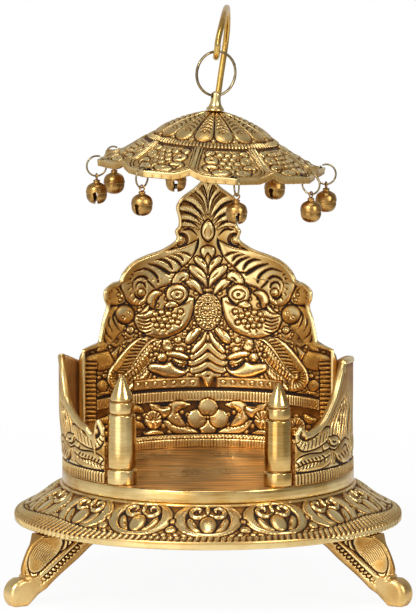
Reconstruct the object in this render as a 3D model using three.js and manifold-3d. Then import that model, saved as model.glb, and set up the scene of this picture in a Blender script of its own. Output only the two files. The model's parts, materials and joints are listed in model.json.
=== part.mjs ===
// Brass deity throne: a round base on three cabriole legs, a curved carved back, two curved arms,
// two bullet pillars and an umbrella canopy with jingle bells, hung by a ring from a bent rod.
// Millimetres, +Z up. The feet stand on z = 0 and the sitter looks along -Y.

import * as THREE from 'three';
import { mergeVertices } from 'three/addons/utils/BufferGeometryUtils.js';
import Module from 'manifold-3d';

const wasm = await Module();
wasm.setup();
const { Manifold, Mesh: SolidMesh } = wasm;

const TURN = 2 * Math.PI;
const rad = THREE.MathUtils.degToRad;

// Fits and joint lines
const castGap = 0.1;
const hangGap = 0.15;
const eyeGap = 0.24;
const cutOverrun = 2;
const mergeTolerance = 0.001;
const screwFit = 0.12;

// Seat and base
const seatHeight = 48.4;
const drumRadius = 58.4;
const drumDepth = 5.3;
const drumFloor = 2.2;
const drumSkirt = 7.4;
const drumEdge = 0.7;
const flangeRadius = 77.6;
const flangeDrop = 12;
const flangeWall = 2.6;
const rimTuck = 1.8;
const lipDepth = 3.1;
const lipWall = 2.6;
const flangeRelief = 0.9;
const cartoucheCount = 15;
const cartoucheWidth = 25.4;
const cartoucheReach = 14.4;
const cartoucheBorder = 1.5;
const ropeBorder = 3;
const cartoucheFacets = 8;
const cartoucheCrownShares = [[0.86, 0.8], [0, 1]];
const baseFacets = 45;

// Legs
const legTurnsDeg = { leg_front_left: 210, leg_front_right: 330, leg_rear: 90 };
const legWidth = 11;
const legBevel = 1.5;
const legTongueRadius = 43.5;
const legTongueEnd = 58;
const legRootDrop = 3;
const footRadius = 6.4;
const footReach = 85.6;
const footFlat = 0.5;
const ankleWidth = 7.2;
const legScrewRadius = 47.8;
const ballPoints = 8;

// Back panel
const panelRadius = 55.2;
const panelWall = 4;
const panelHalfTurn = 70;
const panelHeight = 111.4;
const panelHalfWidth = 52;
const panelFootHeight = 4.6;
const panelFootStep = 0.7;
const panelArcSteps = 16;
const panelRelief = 0.9;
const panelBorder = 2.6;
const panelBandHeight = 30;
const panelScrewTurnsDeg = [-56, -24, 24, 56];

// Arms
const armWall = 2.9;
const armHeight = 46.4;
const armRearDeg = 115;
const armRound = 1.1;
const armSteps = 22;
const armScrewTurnsDeg = [76, 104];

// Pillars
const pillarRadius = 6.1;
const pillarHeight = 43.3;
const pillarSpots = {
  pillar_left: { x: -34, y: -39.9, shortenShare: 1 },
  pillar_right: { x: 27.8, y: -44.4, shortenShare: 0.945 },
};
const pillarFacets = 12;

// Screws, studs and nuts
const screwRadius = 1;
const screwHeadRadius = 2.2;
const screwHeadHeight = 1.6;
const screwBite = 6;
const nutRadius = 2.8;
const nutHeight = 2.4;
const studSpare = 1;
const screwFacets = 8;

// Umbrella rod and its socket
const rodWire = 1.25;
const rodFit = 0.1;
const rodStandOff = 1.6;
const socketWall = 1.4;
const socketBase = 30;
const socketLength = 34;
const socketFloor = 1.6;
const socketWeb = 2.4;
const rodBendHeight = 104;
const rodLean = 7.6;
const rodShoulder = 170;
const archTop = 181;
const hookNeck = 8;
const hookTip = 5.2;
const rodFacets = 8;
const rodSteps = 34;

// Hanging ring
const ringRadius = 9.3;
const ringWire = 0.5;
const ringTurnDeg = 28;
const hookX = 3.2;
const hookY = -4.5;
const hookHeight = 166.6;
const hookClear = 0.45;

// Finial
const finialHeight = 7.6;
const finialRadius = 3.5;
const finialNeck = 1.95;
const finialEyeDrop = 1.5;
const finialEye = 1.05;
const finialStud = 1.4;
const finialNutRadius = 2.7;
const finialNutHeight = 1.8;

// Canopy
const canopyTilt = 3.6;
const canopyRadius = 46.4;
const canopyValley = 42.6;
const canopyRise = 21.2;
const canopyWall = 1.4;
const canopyLip = 3.5;
const canopyLipWall = 1.7;
const canopyTopRadius = 3.6;
const canopyArch = 1.9;
const canopyRelief = 0.6;
const petalColumns = 3;
const petalBandShares = [0.12, 0.24, 0.44, 0.52];
const panelBandShares = [0.58, 0.7, 0.86, 0.92];
const ribHeight = 0.5;
const ribHalfWidth = 1.6;
const lobeStepsShare = [0, 0.2, 0.4, 0.5, 0.6, 0.8];
const tipTurnsDeg = [12, 57, 108, 147, 192, 234, 282, 327];

// Jingle bells
const bellHoleInset = 2.9;
const bellHole = 1.72;
const linkRadius = 4;
const linkWire = 0.38;
const linkHang = 2.6;
const eyeRadius = 1.16;
const eyeWire = 0.32;
const bellRadius = 4.3;
const bellHeight = 9.8;
const bellWall = 0.6;
const bellSlot = 1.3;
const bellSlotHeight = 5.2;
const bellSlotEnd = 0.95;
const pelletRadius = 1.25;

// Materials
const antiqueBrass = new THREE.MeshStandardMaterial({ color: 0xb8914a, roughness: 0.42, metalness: 0.9 });
const brightBrass = new THREE.MeshStandardMaterial({ color: 0xd9ae5c, roughness: 0.24, metalness: 1 });
const seatBrass = new THREE.MeshStandardMaterial({ color: 0xb98d55, roughness: 0.34, metalness: 0.95 });
const rodBrass = new THREE.MeshStandardMaterial({ color: 0xd29a38, roughness: 0.2, metalness: 1 });
const ringBrass = new THREE.MeshStandardMaterial({ color: 0x8c7a58, roughness: 0.35, metalness: 0.9 });
const bellBronze = new THREE.MeshStandardMaterial({ color: 0xa07440, roughness: 0.38, metalness: 0.95 });
const screwSteel = new THREE.MeshStandardMaterial({ color: 0x8f8f8c, roughness: 0.4, metalness: 0.9 });

// A geometry as a closed solid, whichever way round its faces were listed
function solidOf(geometry) {
  const bare = geometry.clone();
  bare.deleteAttribute('normal');
  bare.deleteAttribute('uv');
  const merged = mergeVertices(bare, 1e-4);
  const place = merged.getAttribute('position');
  const corners = [new THREE.Vector3(), new THREE.Vector3(), new THREE.Vector3()];
  const faces = [];
  let volume = 0;
  for (let i = 0; i < merged.index.count; i += 3) {
    const face = [0, 1, 2].map((k) => merged.index.getX(i + k));
    if (new Set(face).size < 3) continue;
    face.forEach((v, k) => corners[k].fromBufferAttribute(place, v));
    volume += corners[0].dot(corners[1].clone().cross(corners[2]));
    faces.push(face);
  }
  const ordered = volume < 0 ? faces.map(([a, b, c]) => [a, c, b]) : faces;
  return new Manifold(new SolidMesh({
    numProp: 3,
    vertProperties: new Float32Array(place.array),
    triVerts: new Uint32Array(ordered.flat()),
  }));
}

function meshOf(name, solid, material) {
  const { vertProperties, triVerts } = solid.asOriginal().simplify(mergeTolerance).getMesh();
  const geometry = new THREE.BufferGeometry();
  geometry.setAttribute('position', new THREE.BufferAttribute(vertProperties, 3));
  geometry.setIndex(new THREE.BufferAttribute(triVerts, 1));
  geometry.computeVertexNormals();
  const mesh = new THREE.Mesh(geometry, material);
  mesh.name = name;
  return mesh;
}

// A profile of [radius, height] pairs turned about +Z
function turned(profile, facets) {
  const points = profile.map(([r, z]) => new THREE.Vector2(r, z));
  return new THREE.LatheGeometry(points, facets).rotateX(Math.PI / 2);
}

// An upright round bar between two heights
function upright(radius, low, high, facets) {
  return turned([[0, low], [radius, low], [radius, high], [0, high]], facets);
}

// A shape drawn in X and Z, pushed along Y between two values
function slab(shape, near, far, options = {}) {
  const geometry = new THREE.ExtrudeGeometry(shape, { depth: far - near, bevelEnabled: false, ...options });
  return geometry.rotateX(Math.PI / 2).translate(0, far, 0);
}

const polar = (radius, turnDeg) => [radius * Math.cos(rad(turnDeg)), radius * Math.sin(rad(turnDeg))];

// Heights that the pieces of the base share, from the table
const drumFoot = seatHeight - drumDepth;
const rimTop = drumFoot - flangeDrop;
const lipFoot = rimTop - lipDepth;
const deckUnder = drumFoot - flangeWall;

// Base flange: a dished casting, hollow under its slope, with a plain lip
function flangeSlope(share) {
  return drumFoot - flangeDrop * Math.pow(share, 1.12);
}

// Radii of the sunk band that carries the cartouches, between a plain border and the rope border
const bandStart = drumRadius + cartoucheBorder;
const bandEnd = flangeRadius - rimTuck - ropeBorder;

function slopeHeight(radius) {
  return flangeSlope((radius - drumRadius) / (flangeRadius - rimTuck - drumRadius));
}

// An oval cartouche: a low boss that leans with the slope and stands on the sunk band
function cartouche(turn) {
  const middle = (bandStart + bandEnd) / 2;
  const lean = Math.atan2(slopeHeight(bandStart) - slopeHeight(bandEnd), bandEnd - bandStart);
  const crown = cartoucheCrownShares.map(([r, h]) => [r, flangeRelief * h]);
  const boss = turned([[0, -flangeRelief], [1, -flangeRelief], ...crown], cartoucheFacets);
  boss.rotateZ(Math.PI / cartoucheFacets).scale(cartoucheReach / 2, cartoucheWidth / 2, 1).rotateY(lean);
  return solidOf(boss.translate(middle, 0, slopeHeight(middle) - flangeRelief).rotateZ(rad(turn)));
}

function baseFlange(holes) {
  const shoulder = flangeRadius - rimTuck;
  const inner = flangeRadius - lipWall;
  const top = [
    [drumRadius, drumFoot], [bandStart, slopeHeight(bandStart)],
    [bandStart + flangeRelief / 2, slopeHeight(bandStart) - flangeRelief],
    [bandEnd - flangeRelief / 2, slopeHeight(bandEnd) - flangeRelief], [bandEnd, slopeHeight(bandEnd)],
  ];
  const under = [[bandEnd, slopeHeight(bandEnd)], [drumRadius, drumFoot]].map(
    ([r, z]) => [r - flangeWall * 0.5, z - flangeWall],
  );
  const profile = [
    [0, drumFoot], ...top,
    [shoulder, flangeSlope(1) + rimTuck * 0.5], [flangeRadius, rimTop - rimTuck * 0.5],
    [flangeRadius, lipFoot], [inner, lipFoot], [inner, rimTop - flangeWall * 0.6],
    ...under, [0, deckUnder],
  ];
  let solid = solidOf(turned(profile, baseFacets).rotateZ(Math.PI / baseFacets));
  for (let i = 0; i < cartoucheCount; i += 1) {
    solid = solid.add(cartouche(-90 + (360 * i) / cartoucheCount));
  }
  for (const [x, y, radius] of holes) {
    const drill = upright(radius, deckUnder - cutOverrun, drumFoot + cutOverrun, screwFacets);
    const spotFace = upright(nutRadius + screwFit, deckUnder - cutOverrun * 2, deckUnder, screwFacets);
    solid = solid.subtract(solidOf(drill.translate(x, y, 0)));
    solid = solid.subtract(solidOf(spotFace.translate(x, y, 0)));
  }
  return meshOf('base_flange', solid, antiqueBrass);
}

// Seat drum: a shallow inverted dish whose floor is the seat
function seatDrum(holes) {
  const foot = drumFoot + castGap;
  const inner = drumRadius - drumSkirt;
  const ceiling = seatHeight - drumFloor;
  const profile = [
    [0, ceiling], [inner, ceiling], [inner, foot], [drumRadius, foot],
    [drumRadius, seatHeight - drumEdge], [drumRadius - drumEdge, seatHeight], [0, seatHeight],
  ];
  let solid = solidOf(turned(profile, baseFacets));
  for (const [x, y, radius] of holes) {
    const drill = upright(radius, foot - cutOverrun, seatHeight + cutOverrun, screwFacets);
    solid = solid.subtract(solidOf(drill.translate(x, y, 0)));
  }
  return meshOf('seat_drum', solid, seatBrass);
}

// Leg: a cabriole bracket in the radial plane, with a tongue bolted under the base deck
const legRoot = lipFoot - castGap * 3;
const footMid = footRadius - footFlat;

function smooth(points, steps) {
  return new THREE.SplineCurve(points.map(([x, z]) => new THREE.Vector2(x, z))).getPoints(steps);
}

function bracketShape() {
  const halfFlat = Math.sqrt(footRadius ** 2 - footMid ** 2);
  const crown = [footReach - footRadius * 0.2, footMid + footRadius * 0.97];
  const drop = legRoot - crown[1];
  const inner = [footReach - footRadius * 1.05, footMid + footRadius * 0.35];
  const outerEdge = smooth([
    [flangeRadius, legRoot], [flangeRadius + ankleWidth * 0.28, legRoot - drop * 0.36],
    [crown[0] - ankleWidth * 0.22, crown[1] + drop * 0.24], crown,
  ], 6);
  const flatTurn = Math.atan2(-footMid, halfFlat);
  const ball = Array.from({ length: ballPoints }, (_, i) => {
    const turn = THREE.MathUtils.lerp(Math.PI * 0.42, flatTurn, i / (ballPoints - 1));
    return new THREE.Vector2(footReach + footRadius * Math.cos(turn), footMid + footRadius * Math.sin(turn));
  });
  const innerEdge = smooth([
    [footReach - halfFlat, 0], [footReach - footRadius * 0.86, footMid - footRadius * 0.5], inner,
    [footReach - ankleWidth * 1.3, footMid + footRadius * 0.86],
    [legTongueEnd + (footReach - legTongueEnd) * 0.32, legRoot - (legRoot - footMid) * 0.46],
    [legTongueEnd - legRootDrop * 0.5, legRoot - legRootDrop * 1.2],
    [legTongueRadius + legRootDrop, legRoot - legRootDrop],
  ], 11);
  const heel = new THREE.Vector2(legTongueRadius + legRootDrop * 0.4, legRoot);
  return new THREE.Shape([...outerEdge, ...ball, ...innerEdge, heel]);
}

function tongueShape() {
  const under = deckUnder - castGap;
  const lipInner = flangeRadius - lipWall - castGap * 3;
  return new THREE.Shape([
    new THREE.Vector2(legTongueRadius, under),
    new THREE.Vector2(legTongueEnd - flangeWall, under),
    new THREE.Vector2(lipInner, rimTop - flangeWall - castGap * 4),
    new THREE.Vector2(lipInner, legRoot - legBevel),
    new THREE.Vector2(legTongueRadius + legRootDrop, legRoot - legBevel),
    new THREE.Vector2(legTongueRadius, legRoot),
  ]);
}

function leg(name, turnDeg) {
  const half = legWidth / 2;
  const bracket = slab(bracketShape(), -half + legBevel, half - legBevel, {
    bevelEnabled: true,
    bevelThickness: legBevel,
    bevelSize: legBevel * 0.6,
    bevelOffset: -legBevel * 0.6,
    bevelSegments: 1,
  });
  const tongue = slab(tongueShape(), -half + legBevel * 0.5, half - legBevel * 0.5);
  const top = deckUnder + cutOverrun;
  const drill = upright(screwRadius + screwFit, deckUnder - screwBite - screwFit, top, screwFacets);
  const cast = solidOf(bracket).add(solidOf(tongue));
  const solid = cast.subtract(solidOf(drill.translate(legScrewRadius, 0, 0)));
  const mesh = meshOf(name, solid, antiqueBrass);
  mesh.rotation.z = rad(turnDeg);
  return mesh;
}

// A pan-head screw with its head at z = 0 and its shank along +Z or, pointing down, along -Z
function screw(name, x, y, headZ, length, pointsUp) {
  const profile = [
    [0, -screwHeadHeight], [screwHeadRadius * 0.75, -screwHeadHeight], [screwHeadRadius, 0], [screwRadius, 0], [screwRadius, length], [0, length],
  ];
  const mesh = meshOf(name, solidOf(turned(profile, screwFacets)), screwSteel);
  mesh.position.set(x, y, headZ);
  mesh.rotation.x = pointsUp ? 0 : Math.PI;
  return mesh;
}

// Back panel: a cylindrical wall cut to the carved outline, drawn in width and height shares
const panelOutlineShares = [
  [[1.02, 0.361], [0.99, 0.38], [0.954, 0.395], [0.908, 0.404], [0.842, 0.413]],
  [[0.842, 0.413], [0.823, 0.443], [0.8, 0.498], [0.773, 0.54]],
  [[0.773, 0.54], [0.79, 0.568], [0.79, 0.599], [0.738, 0.62], [0.685, 0.622]],
  [[0.685, 0.622], [0.646, 0.658], [0.577, 0.69], [0.477, 0.71], [0.354, 0.728], [0.262, 0.752]],
  [[0.246, 0.762], [0.254, 0.794], [0.228, 0.814]],
  [[0.227, 0.844], [0.246, 0.872], [0.238, 0.9], [0.2, 0.918], [0.125, 0.95], [0.05, 0.985], [0, 1]],
];

// Forms that stand on the panel's sunk ground. The side forms are cut twice, the middle ones are half drawn.
const sideFormShares = {
  peacock: [[0.16, 0.59], [0.3, 0.59], [0.34, 0.53], [0.56, 0.49], [0.46, 0.41], [0.2, 0.43], [0.13, 0.49]],
  tail: [[0.37, 0.4], [0.62, 0.38], [0.76, 0.27], [0.64, 0.22], [0.46, 0.25]],
};
const middleFormShares = {
  palmette: [[0, 0.72], [0.16, 0.67], [0.16, 0.6], [0, 0.55]],
  disc: [[0, 0.545], [0.1, 0.52], [0.1, 0.48], [0, 0.455]],
  leaves: [[0, 0.43], [0.15, 0.34], [0.11, 0.26], [0, 0.25]],
};

function panelPoint([x, z], side) {
  return new THREE.Vector2(side * x * panelHalfWidth, seatHeight + z * panelHeight);
}

// The sunk ground inside the panel's border and over its foot bands, with the forms left out
function panelGround() {
  const inner = panelRadius - panelWall;
  const low = seatHeight + panelBandHeight;
  const top = seatHeight + panelHeight;
  const reach = inner * Math.sin(rad(panelHalfTurn)) - panelBorder;
  const skin = sector(inner - cutOverrun, inner + panelRelief, low, top, panelHalfTurn, panelArcSteps);
  const inset = panelOutlineShares.flatMap((run) => run.filter((_, i) => i % 2 === 0)).map((share) => panelPoint(share, 1)).map(
    ({ x, y }) => new THREE.Vector2(THREE.MathUtils.clamp(x - panelBorder, 0, reach), y - panelBorder),
  );
  const right = [new THREE.Vector2(reach, low), ...inset, new THREE.Vector2(0, top - panelBorder)];
  const left = right.slice(0, -1).map((p) => new THREE.Vector2(-p.x, p.y)).reverse();
  const cut = (points) => solidOf(slab(new THREE.Shape(points), 0, panelRadius));
  let ground = solidOf(skin).intersect(cut([...right, ...left]));
  for (const shares of Object.values(sideFormShares)) {
    for (const side of [1, -1]) ground = ground.subtract(cut(shares.map((share) => panelPoint(share, side))));
  }
  for (const shares of Object.values(middleFormShares)) {
    const half = shares.map((share) => panelPoint(share, 1));
    const other = shares.slice(1, -1).map((share) => panelPoint(share, -1)).reverse();
    ground = ground.subtract(cut([...half, ...other]));
  }
  return ground;
}

function panelOutline() {
  const at = panelPoint;
  const half = panelOutlineShares.flatMap((run) => (
    new THREE.SplineCurve(run.map((p) => at(p, 1))).getPoints(run.length)
  ));
  const foot = seatHeight + castGap;
  const wide = panelHalfWidth * 1.1;
  const right = [new THREE.Vector2(wide, foot), new THREE.Vector2(wide, half[0].y), ...half];
  const left = right.map((p) => new THREE.Vector2(-p.x, p.y)).reverse().slice(1);
  return new THREE.Shape([...right, ...left]);
}

// A ring sector between two radii and two heights, centred on +Y
function sector(inner, outer, low, high, halfTurnDeg, steps) {
  const shape = new THREE.Shape();
  const start = Math.PI / 2 - rad(halfTurnDeg);
  const end = Math.PI / 2 + rad(halfTurnDeg);
  shape.absarc(0, 0, outer, start, end, false);
  shape.absarc(0, 0, inner, end, start, true);
  const options = { depth: high - low, bevelEnabled: false, curveSegments: steps };
  return new THREE.ExtrudeGeometry(shape, options).translate(0, 0, low);
}

function backPanel() {
  const inner = panelRadius - panelWall;
  const foot = seatHeight + castGap;
  const tall = seatHeight + panelHeight + cutOverrun;
  const wall = sector(inner, panelRadius, foot - cutOverrun, tall, panelHalfTurn, panelArcSteps);
  const outline = slab(panelOutline(), 0, panelRadius + cutOverrun);
  let solid = solidOf(wall).intersect(solidOf(outline));
  const footTop = foot + panelFootHeight;
  const step = sector(inner - panelFootStep, inner + panelFootStep, foot, footTop, panelHalfTurn, panelArcSteps);
  solid = solid.add(solidOf(step)).subtract(panelGround());
  for (const turn of panelScrewTurnsDeg) {
    const [x, y] = polar(panelRadius - panelWall / 2, 90 + turn);
    const drill = upright(screwRadius + screwFit, foot - cutOverrun, foot + screwBite + screwFit, screwFacets);
    solid = solid.subtract(solidOf(drill.translate(x, y, 0)));
  }
  return meshOf('back_panel', solid, antiqueBrass);
}

// Arms: curved walls whose tops fall from the back to a scroll beside the pillar
const armTopShares = [
  [0, 0.43], [0.05, 0.5], [0.1, 0.54], [0.135, 0.5], [0.165, 0.39], [0.21, 0.405], [0.27, 0.44],
  [0.385, 0.513], [0.48, 0.6], [0.59, 0.71], [0.66, 0.9], [0.73, 1], [0.86, 0.93], [1, 0.85],
];

function armTop(share) {
  const next = Math.max(1, armTopShares.findIndex(([s]) => s >= share));
  const [s0, z0] = armTopShares[next - 1];
  const [s1, z1] = armTopShares[next];
  return armHeight * THREE.MathUtils.lerp(z0, z1, THREE.MathUtils.smoothstep(share, s0, s1));
}

// An arm starts just behind the pillar on its side
const armMiddle = panelRadius + castGap * 3 + armWall / 2;

function armFrontDeg(side) {
  const { x, y } = side > 0 ? pillarSpots.pillar_right : pillarSpots.pillar_left;
  const beside = Math.asin((pillarRadius + castGap * 4) / armMiddle);
  return THREE.MathUtils.radToDeg(Math.atan2(Math.abs(x), -y) + beside);
}

function arm(name, side) {
  const rowShares = [0, 0.5, 1, 1];
  const geometry = new THREE.BoxGeometry(1, 1, 1, armSteps, 1, rowShares.length - 1);
  const place = geometry.getAttribute('position');
  for (let i = 0; i < place.count; i += 1) {
    const share = place.getX(i) + 0.5;
    const row = Math.round((place.getZ(i) + 0.5) * (rowShares.length - 1));
    const lastRow = row === rowShares.length - 1;
    const top = armTop(share);
    const rise = row === rowShares.length - 2 ? top - armRound : top * rowShares[row];
    const width = lastRow ? armWall - armRound * 1.3 : armWall;
    const radius = armMiddle + place.getY(i) * width;
    const turn = THREE.MathUtils.lerp(armFrontDeg(side), armRearDeg, share);
    const [x, y] = polar(radius, -90 + side * turn);
    place.setXYZ(i, x, y, seatHeight + castGap + rise);
  }
  let solid = solidOf(geometry);
  for (const turn of armScrewTurnsDeg) {
    const [x, y] = polar(armMiddle, -90 + side * turn);
    const low = seatHeight - cutOverrun;
    const high = seatHeight + castGap + screwBite + screwFit;
    solid = solid.subtract(solidOf(upright(screwRadius + screwFit, low, high, screwFacets).translate(x, y, 0)));
  }
  return meshOf(name, solid, antiqueBrass);
}

// Pillars: turned bullets with two collars, and a stud through the seat
const pillarShares = [
  [1, 0], [1, 0.055], [0.985, 0.11], [0.87, 0.125], [0.93, 0.145], [0.87, 0.66], [0.78, 0.67],
  [0.83, 0.69], [0.83, 0.745], [0.74, 0.757], [0.78, 0.775], [0.76, 0.83], [0.66, 0.9],
  [0.46, 0.955], [0.22, 0.99], [0, 1],
];

function pillar(name, { x, y, shortenShare }) {
  const studFoot = deckUnder - seatHeight - castGap - nutHeight - studSpare;
  const height = pillarHeight * shortenShare;
  const profile = [
    [0, studFoot], [screwRadius, studFoot], [screwRadius, 0],
    ...pillarShares.map(([r, z]) => [pillarRadius * r * Math.sqrt(shortenShare), height * z]),
  ];
  const mesh = meshOf(name, solidOf(turned(profile, pillarFacets)), brightBrass);
  mesh.position.set(x, y, seatHeight + castGap);
  return mesh;
}

// A hexagon nut round a stud, with its top face at z = 0
function hexNut(name, radius, height, bore, material) {
  const blank = upright(radius, -height, 0, 6);
  const hole = upright(bore, -height - cutOverrun, cutOverrun, screwFacets);
  return meshOf(name, solidOf(blank).subtract(solidOf(hole)), material);
}

// Socket for the rod: a short tube with a floor, on a web against the back of the panel
const rodY = panelRadius + rodStandOff + rodWire + rodFit;

function rodSocket() {
  const bore = rodWire + rodFit;
  const outer = bore + socketWall;
  const low = seatHeight + socketBase;
  const high = low + socketLength;
  const near = panelRadius + castGap;
  const web = new THREE.BoxGeometry(socketWeb, rodY - near, socketLength);
  web.translate(0, (rodY + near) / 2, (low + high) / 2);
  const back = solidOf(upright(panelRadius + castGap, low - cutOverrun, high + cutOverrun, baseFacets));
  const tube = solidOf(upright(outer, low, high, screwFacets * 2).translate(0, rodY, 0));
  const hole = upright(bore, low + socketFloor, high + cutOverrun, screwFacets * 2).translate(0, rodY, 0);
  const solid = tube.add(solidOf(web)).subtract(back).subtract(solidOf(hole));
  return meshOf('rod_socket', solid, brightBrass);
}

// Umbrella rod: upright behind the panel, leaning over, arching forward and ending in a small hook
function rodPath() {
  const foot = seatHeight + socketBase + socketFloor + castGap;
  const up = (height) => seatHeight + height;
  const hookZ = up(hookHeight);
  const rise = up(archTop) - hookZ;
  const reach = rodY - hookY;
  return new THREE.CatmullRomCurve3([
    new THREE.Vector3(0, rodY, foot),
    new THREE.Vector3(0, rodY, foot + socketLength),
    new THREE.Vector3(0, rodY, up(rodBendHeight)),
    new THREE.Vector3(rodLean * 0.52, rodY, up(rodBendHeight + (rodShoulder - rodBendHeight) * 0.58)),
    new THREE.Vector3(rodLean, rodY - rodWire, up(rodShoulder - rodWire)),
    new THREE.Vector3(rodLean * 1.02, hookY + reach * 0.82, hookZ + rise * 0.86),
    new THREE.Vector3(rodLean * 0.94, hookY + reach * 0.55, hookZ + rise),
    new THREE.Vector3(rodLean * 0.76, hookY + reach * 0.27, hookZ + rise * 0.8),
    new THREE.Vector3(hookX + rodWire * 0.6, hookY + hookNeck, hookZ + rise * 0.34),
    new THREE.Vector3(hookX + rodWire * 0.25, hookY + hookNeck * 0.36, hookZ + rodWire * 0.5),
    new THREE.Vector3(hookX, hookY, hookZ),
    new THREE.Vector3(hookX + rodWire * 0.1, hookY - hookTip * 0.6, hookZ + rodWire * 1.3),
    new THREE.Vector3(hookX + rodWire * 0.6, hookY - hookTip * 0.8, hookZ + hookTip),
  ], false, 'centripetal');
}

function canopyRod() {
  const section = new THREE.Shape();
  for (let i = 0; i < rodFacets; i += 1) {
    const turn = TURN * (i / rodFacets);
    const x = rodWire * Math.cos(turn);
    const y = rodWire * Math.sin(turn);
    if (i === 0) section.moveTo(x, y);
    else section.lineTo(x, y);
  }
  const geometry = new THREE.ExtrudeGeometry(section, { steps: rodSteps, extrudePath: rodPath() });
  return meshOf('canopy_rod', solidOf(geometry), rodBrass);
}

// Hanging ring: closed wire over the hook and through the finial's eye
function wireRing(name, radius, wire, facets, around, material) {
  const torus = new THREE.TorusGeometry(radius, wire, around, facets);
  return meshOf(name, solidOf(torus.rotateX(Math.PI / 2)), material);
}

const ringTopZ = seatHeight + hookHeight + rodWire + hookClear + ringWire;
const ringMidZ = ringTopZ - ringRadius;
const ringBow = finialNeck * (finialNeck / (2 * ringRadius) + Math.sin(rad(canopyTilt)));
const eyeZ = ringMidZ - ringRadius - (finialEye - ringWire) + hangGap + ringBow;

// Finial: a turned neck on a flared foot, drilled across for the ring, with a stud below
const apexZ = finialEyeDrop - finialHeight;

function finial() {
  const top = finialEyeDrop;
  const studFoot = apexZ - canopyWall - finialNutHeight - studSpare;
  const profile = [
    [0, studFoot], [finialStud, studFoot], [finialStud, apexZ + castGap], [finialRadius, apexZ + castGap],
    [finialRadius, apexZ + finialHeight * 0.1], [finialRadius * 0.78, apexZ + finialHeight * 0.24],
    [finialNeck, apexZ + finialHeight * 0.44], [finialNeck, top - finialNeck * 0.5],
    [finialNeck * 0.6, top], [0, top + finialNeck * 0.15],
  ];
  const eye = new THREE.CylinderGeometry(finialEye, finialEye, finialRadius * 3, screwFacets);
  eye.rotateZ(Math.PI / 2).rotateZ(rad(ringTurnDeg));
  const solid = solidOf(turned(profile, 12)).subtract(solidOf(eye));
  return meshOf('finial', solid, brightBrass);
}

// Canopy: a lobed ogee shell. Its plan runs from a round top to a rim with a point at each bell.
const canopyProfileShares = [
  [0.078, 1], [0.25, 0.915], [0.42, 0.735], [0.55, 0.5], [0.71, 0.26], [0.86, 0.095], [0.93, 0.022], [1, 0],
];

function rimRadius(lobeShare) {
  const fall = Math.sin(Math.PI * lobeShare);
  return canopyRadius - (canopyRadius - canopyValley) * Math.pow(fall, 0.8);
}

function nearRib(lobeShare, radius) {
  const off = Math.abs(lobeShare - 0.5) * rad(45) * radius;
  return Math.max(0, 1 - off / (ribHalfWidth * 2));
}

// One between two radius shares, falling to zero at the outer two
function bandShare(share, [start, full, fade, end]) {
  return THREE.MathUtils.smoothstep(share, start, full) * (1 - THREE.MathUtils.smoothstep(share, fade, end));
}

function lobed(geometry) {
  const steps = lobeStepsShare.length;
  const lobes = tipTurnsDeg.length;
  const place = geometry.getAttribute('position');
  for (let i = 0; i < place.count; i += 1) {
    const radius = Math.hypot(place.getX(i), place.getY(i));
    if (radius === 0) continue;
    const facet = Math.round((Math.atan2(place.getY(i), place.getX(i)) / TURN + 1) * lobes * steps) % (lobes * steps);
    const lobe = Math.floor(facet / steps);
    const share = lobeStepsShare[facet % steps];
    const from = tipTurnsDeg[lobe];
    const span = (tipTurnsDeg[(lobe + 1) % lobes] - from + 360) % 360;
    const out = radius / canopyRadius;
    const spread = THREE.MathUtils.smoothstep(out, 0.55, 1);
    const [x, y] = polar(radius * THREE.MathUtils.lerp(1, rimRadius(share) / canopyRadius, spread), from + span * share);
    const rib = THREE.MathUtils.smoothstep(out, 0.5, 0.62) * nearRib(share, radius);
    const arch = THREE.MathUtils.smoothstep(out, 0.8, 1) * nearRib(share, radius * 0.5);
    const petal = facet % petalColumns === 0 ? bandShare(out, petalBandShares) : 0;
    const panel = bandShare(out, panelBandShares) * (1 - nearRib(share, radius));
    const sunk = canopyRelief * Math.max(petal, panel);
    place.setXYZ(i, x, y, place.getZ(i) + rib * ribHeight + arch * canopyArch - sunk);
  }
  return geometry;
}

function canopy() {
  const rimZ = apexZ - canopyRise;
  const top = canopyProfileShares.map(([r, h]) => [r * canopyRadius, rimZ + h * canopyRise]);
  const under = top.slice(0, -1).filter((_, i) => i % 2 === 0).map(([r, z]) => [r - canopyWall * 0.45, z - canopyWall]);
  under[0] = [canopyTopRadius * 0.9, under[0][1] - canopyWall * 0.2];
  const lipInner = canopyRadius - canopyLipWall;
  const profile = [
    [0, apexZ], ...top, [canopyRadius, rimZ - canopyLip], [lipInner, rimZ - canopyLip],
    [lipInner, rimZ - canopyWall * 1.1], ...under.reverse(), [0, apexZ - canopyWall * 1.2],
  ];
  let solid = solidOf(lobed(turned(profile, tipTurnsDeg.length * lobeStepsShare.length)));
  const bore = upright(finialStud + screwFit, apexZ - canopyWall * 2 - cutOverrun, apexZ + cutOverrun, screwFacets);
  solid = solid.subtract(solidOf(bore));
  for (const turn of tipTurnsDeg) {
    const [x, y] = polar(canopyRadius - bellHoleInset, turn);
    const drill = upright(bellHole, rimZ - canopyLip, rimZ + cutOverrun * 2, 8).translate(x, y, 0);
    solid = solid.subtract(solidOf(drill));
  }
  return meshOf('canopy', solid, antiqueBrass);
}

// Jingle bell: a barrel shell with a slot across its foot, an eye on its crown and a loose pellet.
// The eye's centre is the bell's own origin.
const bellShares = [
  [0, 0], [0.5, 0.02], [0.86, 0.14], [1, 0.42], [0.98, 0.6], [0.76, 0.86], [0.36, 0.97], [0, 1],
];
const bellFoot = -eyeRadius - bellHeight;

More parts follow.
